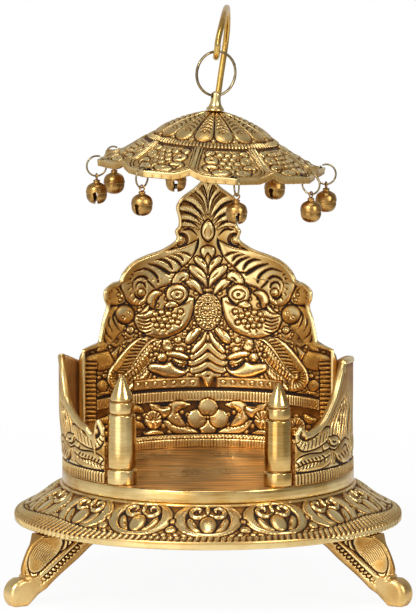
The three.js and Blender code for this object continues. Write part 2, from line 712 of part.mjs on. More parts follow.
function bell(name) {
  const shell = bellShares.map(([r, z]) => [bellRadius * r, bellFoot + bellHeight * z]);
  const hollowShares = bellShares.filter((_, i) => i % 3 === 0 || i === bellShares.length - 1);
  const hollow = hollowShares.map(([r, z]) => [
    (bellRadius - bellWall) * r, bellFoot + bellWall + (bellHeight - bellWall * 2) * z,
  ]);
  const slotTop = bellFoot + bellSlotHeight;
  const slot = new THREE.BoxGeometry(bellSlot, bellRadius * 3, bellSlotHeight);
  slot.translate(0, 0, slotTop - bellSlotHeight / 2 - cutOverrun * 0.5);
  const ends = new THREE.CylinderGeometry(bellSlotEnd, bellSlotEnd, bellRadius * 3, 6);
  ends.translate(0, 0, slotTop - cutOverrun * 0.5);
  const eye = new THREE.TorusGeometry(eyeRadius, eyeWire, 4, 8).rotateX(Math.PI / 2);
  const body = solidOf(turned(shell, 10)).subtract(solidOf(turned(hollow, 6)));
  const solid = body.subtract(solidOf(slot)).subtract(solidOf(ends)).add(solidOf(eye));
  return meshOf(name, solid, bellBronze);
}

function pellet(name) {
  const mesh = meshOf(name, solidOf(new THREE.SphereGeometry(pelletRadius, 6, 5)), screwSteel);
  mesh.position.z = bellFoot + bellWall + pelletRadius + hangGap * 3;
  return mesh;
}

// Where a bell's ring hangs: it leans out through its hole and round the lip
function linkPlace(turnDeg, tilted) {
  const rise = linkHang - canopyWall * 0.18;
  const out = Math.sqrt(linkRadius ** 2 - rise ** 2) - bellHoleInset;
  const [x, y] = polar(canopyRadius + out, turnDeg);
  const edge = new THREE.Vector3(x, y, apexZ - canopyRise).applyMatrix4(tilted);
  return edge.setZ(edge.z - linkHang);
}

// Assembly
const throne = new THREE.Group();
const frontReach = flangeRadius;
const rearReach = footReach + footRadius;
throne.position.y = (frontReach - rearReach) / 2;

const studHoles = Object.values(pillarSpots).map(({ x, y }) => [x, y, screwRadius + screwFit]);
const legHoles = Object.values(legTurnsDeg).map((turn) => [...polar(legScrewRadius, turn), screwRadius + screwFit]);
const wallMiddle = panelRadius - panelWall / 2;
const panelHoles = panelScrewTurnsDeg.map((turn) => [...polar(wallMiddle, 90 + turn), screwRadius + screwFit]);
const armHoles = [1, -1].flatMap((side) => (
  armScrewTurnsDeg.map((turn) => [...polar(armMiddle, -90 + side * turn), screwRadius + screwFit])
));
throne.add(baseFlange([...studHoles, ...legHoles, ...panelHoles, ...armHoles]));
throne.add(seatDrum([...studHoles, ...panelHoles, ...armHoles]));

for (const [name, turn] of Object.entries(legTurnsDeg)) {
  throne.add(leg(name, turn));
  const [x, y] = polar(legScrewRadius, turn);
  const length = drumFoot - deckUnder + screwBite - screwFit;
  throne.add(screw(`${name}_screw`, x, y, drumFoot + castGap, length, false));
}

throne.add(backPanel(), arm('arm_right', 1), arm('arm_left', -1));
const upLength = seatHeight - deckUnder + castGap * 2 + screwBite - screwFit;
panelHoles.forEach(([x, y], i) => {
  throne.add(screw(`panel_screw_${i + 1}`, x, y, deckUnder - castGap, upLength, true));
});
armHoles.forEach(([x, y], i) => {
  throne.add(screw(`arm_screw_${i + 1}`, x, y, deckUnder - castGap, upLength, true));
});

for (const [name, spot] of Object.entries(pillarSpots)) {
  throne.add(pillar(name, spot));
  const nut = hexNut(`${name}_nut`, nutRadius, nutHeight, screwRadius + screwFit, screwSteel);
  nut.position.set(spot.x, spot.y, deckUnder - castGap);
  throne.add(nut);
}

throne.add(rodSocket(), canopyRod());

const hangingRing = wireRing('hanging_ring', ringRadius, ringWire, 24, 6, ringBrass);
hangingRing.position.set(hookX, hookY, ringMidZ);
hangingRing.rotation.z = rad(ringTurnDeg);
throne.add(hangingRing);

// The canopy hangs a little out of level from the ring
const umbrella = new THREE.Group();
umbrella.position.set(hookX, hookY, eyeZ);
umbrella.rotation.y = rad(canopyTilt);
const finialNut = hexNut('finial_nut', finialNutRadius, finialNutHeight, finialStud + screwFit, brightBrass);
finialNut.position.z = apexZ - canopyWall * 1.2 - castGap * 3;
umbrella.add(canopy(), finial(), finialNut);
throne.add(umbrella);
umbrella.updateMatrix();

tipTurnsDeg.forEach((turn, i) => {
  const link = wireRing(`bell_ring_${i + 1}`, linkRadius, linkWire, 16, 5, ringBrass);
  const hung = new THREE.Group();
  hung.position.copy(linkPlace(turn, umbrella.matrix));
  link.rotation.z = rad(turn);
  const swinging = new THREE.Group();
  swinging.position.z = -(linkRadius - linkWire + eyeRadius - eyeWire) + eyeGap;
  swinging.rotation.z = rad(turn + 90);
  swinging.add(bell(`bell_${i + 1}`), pellet(`bell_pellet_${i + 1}`));
  hung.add(link, swinging);
  throne.add(hung);
});

export default throne;
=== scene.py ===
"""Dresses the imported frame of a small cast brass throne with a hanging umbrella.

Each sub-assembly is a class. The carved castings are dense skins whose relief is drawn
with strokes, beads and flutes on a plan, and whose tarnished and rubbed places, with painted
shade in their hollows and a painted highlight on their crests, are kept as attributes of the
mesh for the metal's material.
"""

import json
import logging
from dataclasses import dataclass
from enum import Enum
from math import asin, atan2, cos, hypot, pi, radians, sin, sqrt
from typing import Any, Sequence

import bmesh
import bpy
import numpy as np
from bpy.types import ID, Material, Node, NodeSocket, NodeTree, Object
from mathutils import Matrix, Vector

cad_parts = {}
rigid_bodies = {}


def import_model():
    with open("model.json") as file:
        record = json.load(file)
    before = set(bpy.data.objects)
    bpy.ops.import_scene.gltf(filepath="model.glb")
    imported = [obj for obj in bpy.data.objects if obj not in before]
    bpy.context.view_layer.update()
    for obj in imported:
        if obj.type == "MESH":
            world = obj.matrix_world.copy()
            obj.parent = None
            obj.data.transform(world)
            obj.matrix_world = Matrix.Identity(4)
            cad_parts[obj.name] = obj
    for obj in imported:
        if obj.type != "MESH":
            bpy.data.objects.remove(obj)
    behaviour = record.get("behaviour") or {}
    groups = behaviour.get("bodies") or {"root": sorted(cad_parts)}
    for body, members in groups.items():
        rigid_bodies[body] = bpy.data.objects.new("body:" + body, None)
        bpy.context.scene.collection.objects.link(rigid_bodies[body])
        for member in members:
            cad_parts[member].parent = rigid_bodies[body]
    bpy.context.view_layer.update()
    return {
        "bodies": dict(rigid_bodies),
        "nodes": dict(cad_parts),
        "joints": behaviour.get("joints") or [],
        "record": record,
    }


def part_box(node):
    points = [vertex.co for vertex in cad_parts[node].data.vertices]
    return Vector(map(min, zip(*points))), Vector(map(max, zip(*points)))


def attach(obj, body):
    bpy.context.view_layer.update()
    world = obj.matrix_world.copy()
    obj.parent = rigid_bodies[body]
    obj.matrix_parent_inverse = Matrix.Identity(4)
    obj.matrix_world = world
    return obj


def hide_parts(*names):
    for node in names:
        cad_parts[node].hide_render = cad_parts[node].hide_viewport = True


LOG = logging.getLogger("throne")

MM = 0.001
TURN = 2 * pi
Point = Sequence[float]
Run = Sequence[float] | Sequence[Point]
Array = np.ndarray


# Small tools


def linear(hex_colour: str) -> tuple[float, float, float, float]:
    """Turns an sRGB hex colour into Blender's linear colour.

    Args:
        hex_colour: Six hex digits, without a mark before them.

    Returns:
        Linear red, green, blue and full alpha.
    """
    parts = [int(hex_colour[i : i + 2], 16) / 255 for i in (0, 2, 4)]
    red, green, blue = (c / 12.92 if c <= 0.04045 else ((c + 0.055) / 1.055) ** 2.4 for c in parts)
    return (red, green, blue, 1.0)


def heading(degrees: float) -> tuple[float, float]:
    """Cosine and sine of an angle in degrees."""
    return cos(radians(degrees)), sin(radians(degrees))


def off(spot: Point, reach: float, turn: float) -> Point:
    """The place at a distance from a spot, in a direction in radians."""
    return spot[0] + reach * cos(turn), spot[1] + reach * sin(turn)


def within(value: Array, low: float, high: float) -> Array:
    """Where value lies between low and high."""
    return (value > low) & (value < high)


def run_along(path: Array) -> Array:
    """Length of a path up to each of its points."""
    return np.concatenate([[0], np.cumsum(np.hypot(*np.diff(path, axis=0).T))])


def eased(value: Array | float, low: float, high: float) -> Array | float:
    """Smooth step of value from 0 at low to 1 at high."""
    share = np.clip((value - low) / (high - low), 0.0, 1.0)
    return share * share * (3 - 2 * share)


def spots(points: Run) -> Array:
    """Points, one to a row, from pairs or from one run of coordinates."""
    return np.reshape(np.asarray(points, float), (-1, 2))


def curve_through(points: Run, steps: int = 5) -> Array:
    """Samples a Catmull-Rom curve through points.

    Args:
        points: Two or more points, as pairs or as one run of coordinates.
        steps: Samples to each span.

    Returns:
        The samples, one to a row, the last point included.
    """
    given = spots(points)
    if len(given) < 3:
        share = np.linspace(0, 1, steps + 1)[:, None]
        return given[0] * (1 - share) + given[-1] * share
    padded = np.vstack([2 * given[0] - given[1], given, 2 * given[-1] - given[-2]])
    rows = []
    for i in range(len(given) - 1):
        a, b, c, d = padded[i : i + 4]
        square, cube = 2 * a - 5 * b + 4 * c - d, 3 * b - a - 3 * c + d
        rows += [0.5 * (2 * b + (c - a) * t + square * t**2 + cube * t**3) for t in np.arange(steps) / steps]
    rows.append(given[-1])
    return np.array(rows)


def softened(grid: Array, reach: int, wraps: bool = False) -> Array:
    """Blurs a grid with three box filters.

    Args:
        grid: Heights in rows and columns.
        reach: Half width of the box, in cells.
        wraps: Whether the columns close on themselves.

    Returns:
        The blurred grid.
    """
    out = grid
    for axis in (0, 1, 0, 1):
        mode = "wrap" if wraps and axis == 1 else "edge"
        pads = [(0, 0), (0, 0)]
        pads[axis] = (reach + 1, reach)
        total = np.cumsum(np.pad(out, pads, mode=mode), axis=axis)
        wide = 2 * reach + 1
        upper = np.take(total, range(wide, total.shape[axis]), axis=axis)
        lower = np.take(total, range(0, total.shape[axis] - wide), axis=axis)
        out = (upper - lower) / wide
    return out


# Relief


class Taper(Enum):
    """How a stroke's width runs from its start to its end."""

    EVEN = "even"
    LEAF = "leaf"
    DROP = "drop"
    SPIKE = "spike"
    CONE = "cone"
    COMMA = "comma"

    def widths(self, share: Array) -> Array:
        """Width share at each place along the stroke.

        Args:
            share: Places from 0 at its start to 1 at its end.

        Returns:
            Shares of the greatest half width.
        """
        if self is Taper.EVEN:
            return np.clip(np.minimum(share, 1 - share) * 12 + 0.6, 0, 1)
        if self is Taper.LEAF:
            return np.sin(np.pi * np.clip(share, 0.02, 0.98)) ** 0.7
        if self is Taper.DROP:
            return np.clip(np.sin(np.pi * (0.04 + 0.86 * share)) ** 0.55 * (0.25 + share), 0.08, 1)
        if self is Taper.SPIKE:
            return 1 - 0.86 * share
        if self is Taper.CONE:
            return 0.12 + 0.88 * share
        return 0.2 + 0.8 * np.sin(np.pi * np.clip(share, 0, 1) ** 0.6) ** 0.8


EVEN, LEAF, DROP, SPIKE, CONE, COMMA = Taper


class Relief:
    """A height map on a plan, in plan units, that carving tools change one after another."""

    def __init__(self, u: Array, v: Array, level: float, floor: float = 0.0) -> None:
        """Starts the map.

        Args:
            u: Plan abscissa of every vertex, in rows and columns.
            v: Plan ordinate of every vertex.
            level: Height of the untouched face.
            floor: Height of the deepest groove.
        """
        self.shape = u.shape
        self.u, self.v = u.ravel(), v.ravel()
        self.h = np.full(self.u.size, level)
        self.floor = floor

    def _near(self, points: Array, reach: float) -> Array:
        """Vertices in the box round points, widened by reach."""
        low, high = points.min(axis=0) - reach, points.max(axis=0) + reach
        return np.nonzero(within(self.u, low[0], high[0]) & within(self.v, low[1], high[1]))[0]

    def _along(self, path: Array, ids: Array, widths: Array) -> Array:
        """Depth inside a stroke: its width minus the distance to its path.

        Args:
            path: The stroke's samples.
            ids: Vertices that may lie in it.
            widths: Half width at each sample.

        Returns:
            The depth at each vertex, below 0 outside.
        """
        pu, pv = self.u[ids], self.v[ids]
        best = np.full(ids.size, -1e9)
        for i in range(len(path) - 1):
            (au, av), (bu, bv) = path[i], path[i + 1]
            du, dv = bu - au, bv - av
            span = du * du + dv * dv + 1e-12
            share = np.clip(((pu - au) * du + (pv - av) * dv) / span, 0, 1)
            away = np.hypot(pu - au - share * du, pv - av - share * dv)
            width = widths[i] * (1 - share) + widths[i + 1] * share
            best = np.maximum(best, width - away)
        return best

    def _lay(self, ids: Array, depth: Array, rise: float, soft: float, gap: float, crown: float) -> None:
        """Lays a rounded shape with a groove round it over what is there.

        Args:
            ids: Vertices near the shape.
            depth: How far each lies inside it.
            rise: Height of its crest.
            soft: Width of its rounding.
            gap: Width of the groove.
            crown: Share of the rise that is rounded.
        """
        inside = depth > 0
        share = np.clip(depth / soft, 0, 1)
        dome = self.floor + (rise - self.floor) * ((1 - crown) + crown * np.sqrt(1 - (1 - share) ** 2))
        near = (~inside) & (depth > -gap)
        groove = self.floor + (self.h[ids] - self.floor) * eased(-depth, gap * 0.35, gap)
        self.h[ids] = np.where(inside, dome, np.where(near, np.minimum(self.h[ids], groove), self.h[ids]))

    def stroke(
        self, points: Run, width: float, rise: float = 1.25, taper: Taper = LEAF,
        gap: float = 1.5, crown: float = 0.85, soft: float = 0.0,
    ) -> None:
        """Raises a rounded stroke with a groove round it.

        Args:
            points: Places that the stroke runs through.
            width: Its greatest half width.
            rise: Height of its crest.
            taper: How its width runs.
            gap: Width of the groove round it.
            crown: Share of the rise that is rounded.
            soft: Width of the rounding, or 0 for the half width.
        """
        path = curve_through(points)
        widths = width * taper.widths(np.linspace(0, 1, len(path)))
        ids = self._near(path, width + gap)
        self._lay(ids, self._along(path, ids, widths), rise, soft or width, gap, crown)

    def carve(self, points: Run, width: float, depth: float = 0.9, taper: Taper = LEAF) -> None:
        """Cuts a round-bottomed gouge along points.

        Args:
            points: Places that it runs through.
            width: Its greatest half width.
            depth: How deep it goes.
            taper: How its width runs.
        """
        path = curve_through(points)
        widths = width * taper.widths(np.linspace(0, 1, len(path)))
        ids = self._near(path, width)
        share = np.clip(self._along(path, ids, widths) / width, 0, 1)
        self.h[ids] = np.maximum(self.floor, self.h[ids] - depth * np.sqrt(share))

    def bead(
        self, middle: Point, across: float, along: float = 0.0, rise: float = 1.25,
        gap: float = 1.4, crown: float = 0.9, turn: float = 0.0,
    ) -> None:
        """Raises an oval bead with a groove round it.

        Args:
            middle: Its centre.
            across: Its radius in u.
            along: Its radius in v, or 0 for a round bead.
            rise: Height of its crest.
            gap: Width of the groove round it.
            crown: Share of the rise that is rounded.
            turn: Its turn in degrees.
        """
        along = along or across
        reach = max(across, along) + gap
        ids = self._near(np.array([middle]), reach)
        du, dv = self.u[ids] - middle[0], self.v[ids] - middle[1]
        c, s = heading(turn)
        away = np.hypot((du * c + dv * s) / across, (dv * c - du * s) / along)
        self._lay(ids, (1 - away) * min(across, along), rise, min(across, along), gap, crown)

    def patch(
        self, outline: Run, rise: float = 1.2, soft: float = 3.0,
        gap: float = 1.5, crown: float = 0.6, steps: int = 4,
    ) -> None:
        """Raises a rounded area with a groove round it.

        Args:
            outline: Its corners in order, joined smoothly.
            rise: Height of its middle.
            soft: Width of the rounding at its edge.
            gap: Width of the groove round it.
            crown: Share of the rise that is rounded.
            steps: Samples between two corners.
        """
        corners = spots(outline)
        ring = curve_through(np.vstack([corners, corners[:1]]), steps)
        ids = self._near(ring, gap)
        pu, pv = self.u[ids], self.v[ids]
        inside = np.zeros(ids.size, bool)
        for (au, av), (bu, bv) in zip(ring[:-1], ring[1:]):
            if av != bv:
                crosses = (av > pv) != (bv > pv)
                inside ^= crosses & (pu < (bu - au) * (pv - av) / (bv - av) + au)
        away = -self._along(ring, ids, np.zeros(len(ring)))
        self._lay(ids, np.where(inside, away, -away), rise, soft, gap, crown)

    def ring_cut(self, middle: Point, across: float, along: float, width: float, depth: float = 0.8) -> None:
        """Cuts a thin oval line."""
        turns = np.linspace(0, TURN, 21)
        self.carve(
            [(middle[0] + across * cos(t), middle[1] + along * sin(t)) for t in turns],
            width, depth, EVEN,
        )

    def flute(self, share: Array, where: Array, depth: float, sharp: float = 0.6) -> None:
        """Cuts repeated flutes: share counts them, where masks the area from 0 to 1."""
        wave = np.abs(np.sin(np.pi * share.ravel())) ** sharp
        self.h = np.maximum(self.floor, self.h - depth * (1 - wave) * where.ravel())

    def hatch(
        self, count: int, first: Run, step: Run, width: float, depth: float, taper: Taper = LEAF
    ) -> None:
        """Cuts a row of gouges from the first one's points and the step from each to the next."""
        for k in range(count):
            self.carve(np.add(first, np.multiply(step, k)), width, depth, taper)

    def carves(self, taper: Taper, *rows: Sequence[float]) -> None:
        """Cuts gouges, each given by its half width, its depth and the run of its points."""
        for width, depth, *points in rows:
            self.carve(points, width, depth, taper)

    def beads(self, *rows: Sequence[float]) -> None:
        """Raises beads, each given by its centre, both radii, its rise and the groove's width."""
        for u, v, *sizes in rows:
            self.bead((u, v), *sizes)

    def fill(self, where: Array, level: Array | float) -> None:
        """Sets the height to level in an area."""
        self.h = np.where(where, level, self.h)

    def grid(self) -> Array:
        """The heights in rows and columns."""
        return self.h.reshape(self.shape)

    def pillow(self, reach: int, share: float, wraps: bool = False) -> None:
        """Rounds the flats down towards the grooves beside them, as a worn casting is rounded."""
        heights = self.grid()
        self.h = (heights * (1 - share) + softened(heights, reach, wraps) * share * 1.12).ravel()

    def wear_and_painted_light(self, reach: int, full: float, wraps: bool = False) -> Array:
        """Tarnish, rubbing and painted light: from 0, dark with painted shade in a groove, to 1, pale with a
        painted highlight on a crest.

        Args:
            reach: Cells that count as the surroundings.
            full: Height difference that is wholly bright or dark.
            wraps: Whether the columns close on themselves.

        Returns:
            A value for each vertex, in rows and columns.
        """
        heights = self.grid()
        local = heights - softened(heights, reach, wraps)
        return np.clip(0.56 + local / full, 0, 1)


# Meshes


def linked(name: str, data: ID) -> Object:
    """Puts a mesh, lamp or camera in the scene as an object of that name.

    Args:
        name: Name of the object.
        data: What it holds.

    Returns:
        The object.
    """
    made = bpy.data.objects.new(name, data)
    bpy.context.scene.collection.objects.link(made)
    return made


def box_mm(name: str) -> tuple[Array, Array]:
    """The low and the high corner of a CAD node's box, in millimetres."""
    low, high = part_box(name)
    return np.array(low) / MM, np.array(high) / MM


@dataclass
class Skin:
    """A closed surface made of one fine face of rows and columns and a coarse face behind it."""

    front: Array
    back: Array
    wear_and_painted_light: Array
    stride: int = 8
    wraps: bool = False
    poles: tuple[Array, Array] | None = None

    def _coarse(self, count: int) -> list[int]:
        """Rows or columns that the coarse face keeps."""
        kept = list(range(0, count - 1, self.stride))
        return kept + [count - 1]

    def mesh(self, name: str) -> Object:
        """Builds the object.

        Args:
            name: Name of the object and its mesh.

        Returns:
            The linked object, with the attribute of tarnish, wear and painted shade and highlight on its
            vertices.
        """
        rows, cols = self.front.shape[:2]
        f_id = np.arange(rows * cols).reshape(rows, cols)
        b_id = f_id + rows * cols
        faces: list[tuple[int, ...]] = []
        last = cols if self.wraps else cols - 1
        nxt = [(j + 1) % cols for j in range(cols)]
        a, b = f_id[:-1, :last], f_id[:-1, nxt[:last]]
        c, d = f_id[1:, nxt[:last]], f_id[1:, :last]
        quads = np.stack([a, b, c, d], axis=-1).reshape(-1, 4)
        r_keep = self._coarse(rows)
        c_keep = list(range(0, cols, self.stride)) if self.wraps else self._coarse(cols)
        c_ends = c_keep[1:] + ([cols] if self.wraps else [])
        c_starts = c_keep if self.wraps else c_keep[:-1]
        for r0, r1 in zip(r_keep[:-1], r_keep[1:]):
            for c0, c1 in zip(c_starts, c_ends):
                low = [b_id[r0, j % cols] for j in (range(c0, c1 + 1) if r0 == 0 else (c0, c1))]
                high = [b_id[r1, j % cols] for j in (range(c1, c0 - 1, -1) if r1 == rows - 1 else (c1, c0))]
                right = [] if self.wraps or c1 < cols - 1 else [b_id[i, c1] for i in range(r0 + 1, r1)]
                left = [] if self.wraps or c0 > 0 else [b_id[i, c0] for i in range(r1 - 1, r0, -1)]
                faces.append(tuple(reversed(low + right + high + left)))
        over, under = 2 * rows * cols, 2 * rows * cols + 1
        for j in range(last):
            k = nxt[j]
            faces.append((f_id[-1, j], f_id[-1, k], b_id[-1, k], b_id[-1, j]))
            if self.poles:
                faces.append((over, f_id[0, k], f_id[0, j]))
                faces.append((under, b_id[0, j], b_id[0, k]))
            else:
                faces.append((f_id[0, k], f_id[0, j], b_id[0, j], b_id[0, k]))
        if not self.wraps:
            for i in range(rows - 1):
                faces.append((f_id[i, 0], f_id[i + 1, 0], b_id[i + 1, 0], b_id[i, 0]))
                faces.append((f_id[i + 1, -1], f_id[i, -1], b_id[i, -1], b_id[i + 1, -1]))
        points = np.vstack([self.front.reshape(-1, 3), self.back.reshape(-1, 3), *(self.poles or ())])
        used = np.unique(np.concatenate([quads.ravel(), np.concatenate([np.array(f) for f in faces])]))
        fresh = np.full(len(points), -1)
        fresh[used] = np.arange(used.size)
        all_faces = fresh[quads].tolist() + [[int(fresh[i]) for i in f] for f in faces]
        behind = self.wear_and_painted_light.ravel() if self.stride == 1 else np.full(rows * cols, 0.55)
        marks = np.concatenate([self.wear_and_painted_light.ravel(), behind, np.full(2, 0.55)])[used]
        return plain_object(name, points[used], all_faces, marks)


def plain_object(
    name: str, points: Array, faces: Sequence[Sequence[int]], wear_and_painted_light: Array | None = None
) -> Object:
    """Makes a linked, smooth mesh object with outward faces from points in millimetres.

    Args:
        name: Name of the object and its mesh.
        points: Vertices in millimetres, in the row's frame.
        faces: Lists of vertex numbers.
        wear_and_painted_light: A value for each vertex of tarnish and wear, with painted shade and a painted
            highlight in it, or None for 0.6 all over.

    Returns:
        The object.
    """
    mesh = bpy.data.meshes.new(name)
    mesh.from_pydata((np.asarray(points, float) * MM).tolist(), [], [tuple(f) for f in faces])
    mesh.validate()
    work = bmesh.new()
    work.from_mesh(mesh)
    if work.calc_volume(signed=True) < 0:
        bmesh.ops.reverse_faces(work, faces=work.faces)
    work.to_mesh(mesh)
    work.free()
    values = np.full(len(mesh.vertices), 0.6) if wear_and_painted_light is None else np.asarray(wear_and_painted_light, float)
    layer = mesh.attributes.new("wear_and_painted_light", "FLOAT", "POINT")
    layer.data.foreach_set("value", values.astype(np.float32))
    mesh.polygons.foreach_set("use_smooth", [True] * len(mesh.polygons))
    mesh.update()
    return linked(name, mesh)


def turned(name: str, profile: Sequence[Point], steps: int, place: Point = (0, 0, 0)) -> Object:
    """Turns a profile that starts and ends on the axis about an upright axis.

    Args:
        name: Name of the object.
        profile: Radius and height pairs, in millimetres, from one pole to the other.
        steps: Facets round the axis.
        place: Foot of the axis.

    Returns:
        The object.
    """
    turns = np.arange(steps) / steps * TURN
    rings = profile[1:-1]
    points = [(0, 0, profile[0][1])]
    points += [(r * cos(t), r * sin(t), z) for r, z in rings for t in turns]
    points.append((0, 0, profile[-1][1]))
    end = len(points) - 1
    faces: list[tuple[int, ...]] = []
    for j in range(steps):
        k = (j + 1) % steps
        faces.append((0, 1 + k, 1 + j))
        faces.append((end, end - steps + j, end - steps + k))
        for i in range(len(rings) - 1):
            a, b = 1 + i * steps, 1 + (i + 1) * steps
            faces.append((a + j, a + k, b + k, b + j))
    return plain_object(name, np.array(points) + place, faces)


def finished(piece: Object, body: str, material: Material, slot: str, *nodes: str) -> Object:
    """Gives a piece its finish, hangs it on its body and hides the CAD nodes that it replaces.

    Args:
        piece: The object.
        body: Body that it rides on.
        material: Its finish.
        slot: The record's material slot; not used.
        nodes: CAD nodes that it replaces.

    Returns:
        The same piece.
    """
    piece.data.materials.clear()
    piece.data.materials.append(material)
    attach(piece, body)
    if nodes:
        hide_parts(*nodes)
    LOG.info("%s: %d faces", piece.name, len(piece.data.polygons))
    return piece


# Finishes


def node(tree: NodeTree, kind: str, inputs: dict[str | int, Any] | None = None, **settings: Any) -> Node:
    """Adds a node with its settings, values and links.

    Args:
        tree: The tree that it goes in.
        kind: The node's type name, without ShaderNode before it.
        inputs: For each input, a value or the socket that feeds it.
        settings: Properties of the node itself.

    Returns:
        The node.
    """
    made = tree.nodes.new("ShaderNode" + kind if tree.type == "SHADER" else kind)
    for key, value in settings.items():
        setattr(made, key, value)
    for key, value in (inputs or {}).items():
        if isinstance(value, NodeSocket):
            tree.links.new(value, made.inputs[key])
        else:
            made.inputs[key].default_value = value
    return made


def ramp(tree: NodeTree, factor: NodeSocket, stops: Sequence[tuple[float, str]]) -> NodeSocket:
    """Adds a colour ramp of hex colours and returns its colour.

    Args:
        tree: The tree that it goes in.
        factor: What drives it.
        stops: Each place with its hex colour.

    Returns:
        The colour socket.
    """
    made = node(tree, "ValToRGB", {0: factor})
    band = made.color_ramp
    while len(band.elements) < len(stops):
        band.elements.new(1.0)
    for element, (place, colour) in zip(band.elements, stops):
        element.position = place
        element.color = linear(colour)
    return made.outputs[0]


def started(name: str) -> tuple[Material, NodeTree, Node, NodeSocket]:
    """A new material with its tree, its shader and the object's coordinates.

    Args:
        name: The material's name.

    Returns:
        The four of them.
    """
    material = bpy.data.materials.new(name)
    material.use_nodes = True
    tree = material.node_tree
    return material, tree, tree.nodes["Principled BSDF"], node(tree, "TexCoord").outputs["Object"]


@dataclass(frozen=True)
class CastBrass:
    """Cast yellow brass, dark in its recesses and on the flanks of its forms and pale on its crests:
    partly tarnish and rubbing, partly painted shade and a painted highlight.

    The eye gets near-black brown lines round honey-gold forms, with pale, sharp glints on the
    ridges, partly painted into the colour, and a sandy grain left by the mould.
    """

    name: str
    # The recess and flank colours are tarnish with painted shade laid in; the crest colour is a painted
    # highlight over rubbed metal
    recess: str = "1c0d03"
    flank: str = "7f5020"
    body: str = "c6964d"
    crest: str = "f5d998"
    rough_low: float = 0.24
    rough_high: float = 0.62
    patch_mm: float = 9.0
    grain_mm: float = 0.35
    grain_depth_mm: float = 0.035

    def build(self) -> Material:
        """Makes the material.

        Returns:
            The material.
        """
        material, tree, shader, place = started(self.name)
        # This vertex value mixes tarnish and rubbing with painted shade in the hollows and a painted
        # highlight on the crests
        tarnish_wear_and_painted_light = node(tree, "Attribute", attribute_name="wear_and_painted_light").outputs["Fac"]
        # Tarnish gathers in patches of about 9 mm; sand grain is drawn at 0.35 mm, coarser than real sand
        patch, grain = (
            node(tree, "TexNoise", {"Vector": place, "Scale": 1 / (size * MM), "Detail": fine}).outputs["Fac"]
            for size, fine in ((self.patch_mm, 4.0), (self.grain_mm, 3.0))
        )
        shift = node(tree, "Math", {0: patch, 1: 0.44, 2: -0.22}, operation="MULTIPLY_ADD").outputs[0]
        speck = node(tree, "Math", {0: grain, 1: 0.2, 2: -0.1}, operation="MULTIPLY_ADD").outputs[0]
        base = node(tree, "Math", {0: tarnish_wear_and_painted_light, 1: shift}, operation="ADD").outputs[0]
        total = node(tree, "Math", {0: base, 1: speck}, operation="ADD", use_clamp=True).outputs[0]
        # The dark stops paint shade, with the tarnish, into grooves and flanks; the palest stop paints a
        # highlight on crests, and the hollows are made less metallic, which darkens them further
        stops = [(0.14, self.recess), (0.34, self.flank), (0.56, self.body), (0.86, self.crest)]
        tree.links.new(ramp(tree, total, stops), shader.inputs["Base Color"])
        rough = node(tree, "MapRange", {0: total, 1: 0.2, 2: 0.9, 3: self.rough_high, 4: self.rough_low})
        tree.links.new(rough.outputs[0], shader.inputs["Roughness"])
        metal = node(tree, "MapRange", {0: total, 1: 0.1, 2: 0.38, 3: 0.35, 4: 1.0})
        tree.links.new(metal.outputs[0], shader.inputs["Metallic"])
        bump = node(tree, "Bump", {"Height": grain, "Distance": self.grain_depth_mm * MM, "Strength": 0.7})
        tree.links.new(bump.outputs[0], shader.inputs["Normal"])
        return material


@dataclass(frozen=True)
class TurnedMetal:
    """Turned or drawn metal, polished, with fine tool lines, rub marks and a thin uneven tarnish.

    The eye gets long soft reflections broken by hair lines, and a warmer tone where fingers
    haven't polished it.
    """

    name: str
    low: str
    high: str
    rough: float = 0.2
    stretch: tuple[float, float, float] = (1.0, 1.0, 12.0)
    line_mm: float = 0.5
    line_depth_mm: float = 0.012
    mottle_mm: float = 7.0
    streak: float = 0.45

    def build(self) -> Material:
        """Makes the material.

        Returns:
            The material.
        """
        material, tree, shader, place = started(self.name)
        shader.inputs["Metallic"].default_value = 1.0
        drawn = node(tree, "Mapping", {"Vector": place, "Scale": self.stretch}).outputs[0]
        # Tool lines are drawn a few tenths of a millimetre apart, coarser than the real ones
        lines, mottle = (
            node(tree, "TexNoise", {"Vector": where, "Scale": 1 / (size * MM), "Detail": 5.0}).outputs["Fac"]
            for where, size in ((drawn, self.line_mm * max(self.stretch)), (place, self.mottle_mm))
        )
        mixed = node(tree, "Math", {0: lines, 1: self.streak, 2: mottle}, operation="MULTIPLY_ADD").outputs[0]
        middle = (0.5 + 0.5 * self.streak) / (1 + self.streak)
        mixed = node(tree, "Math", {0: mixed, 1: 1 / (1 + self.streak)}, operation="MULTIPLY").outputs[0]
        low, high = middle - 0.225 / (1 + self.streak), middle + 0.195 / (1 + self.streak)
        tree.links.new(ramp(tree, mixed, [(low, self.low), (high, self.high)]), shader.inputs["Base Color"])
        rough = node(tree, "MapRange", {0: mottle, 1: 0.3, 2: 0.7, 3: self.rough * 0.75, 4: self.rough * 1.4})
        tree.links.new(rough.outputs[0], shader.inputs["Roughness"])
        bump = node(tree, "Bump", {"Height": lines, "Distance": self.line_depth_mm * MM, "Strength": 0.5})
        tree.links.new(bump.outputs[0], shader.inputs["Normal"])
        return material


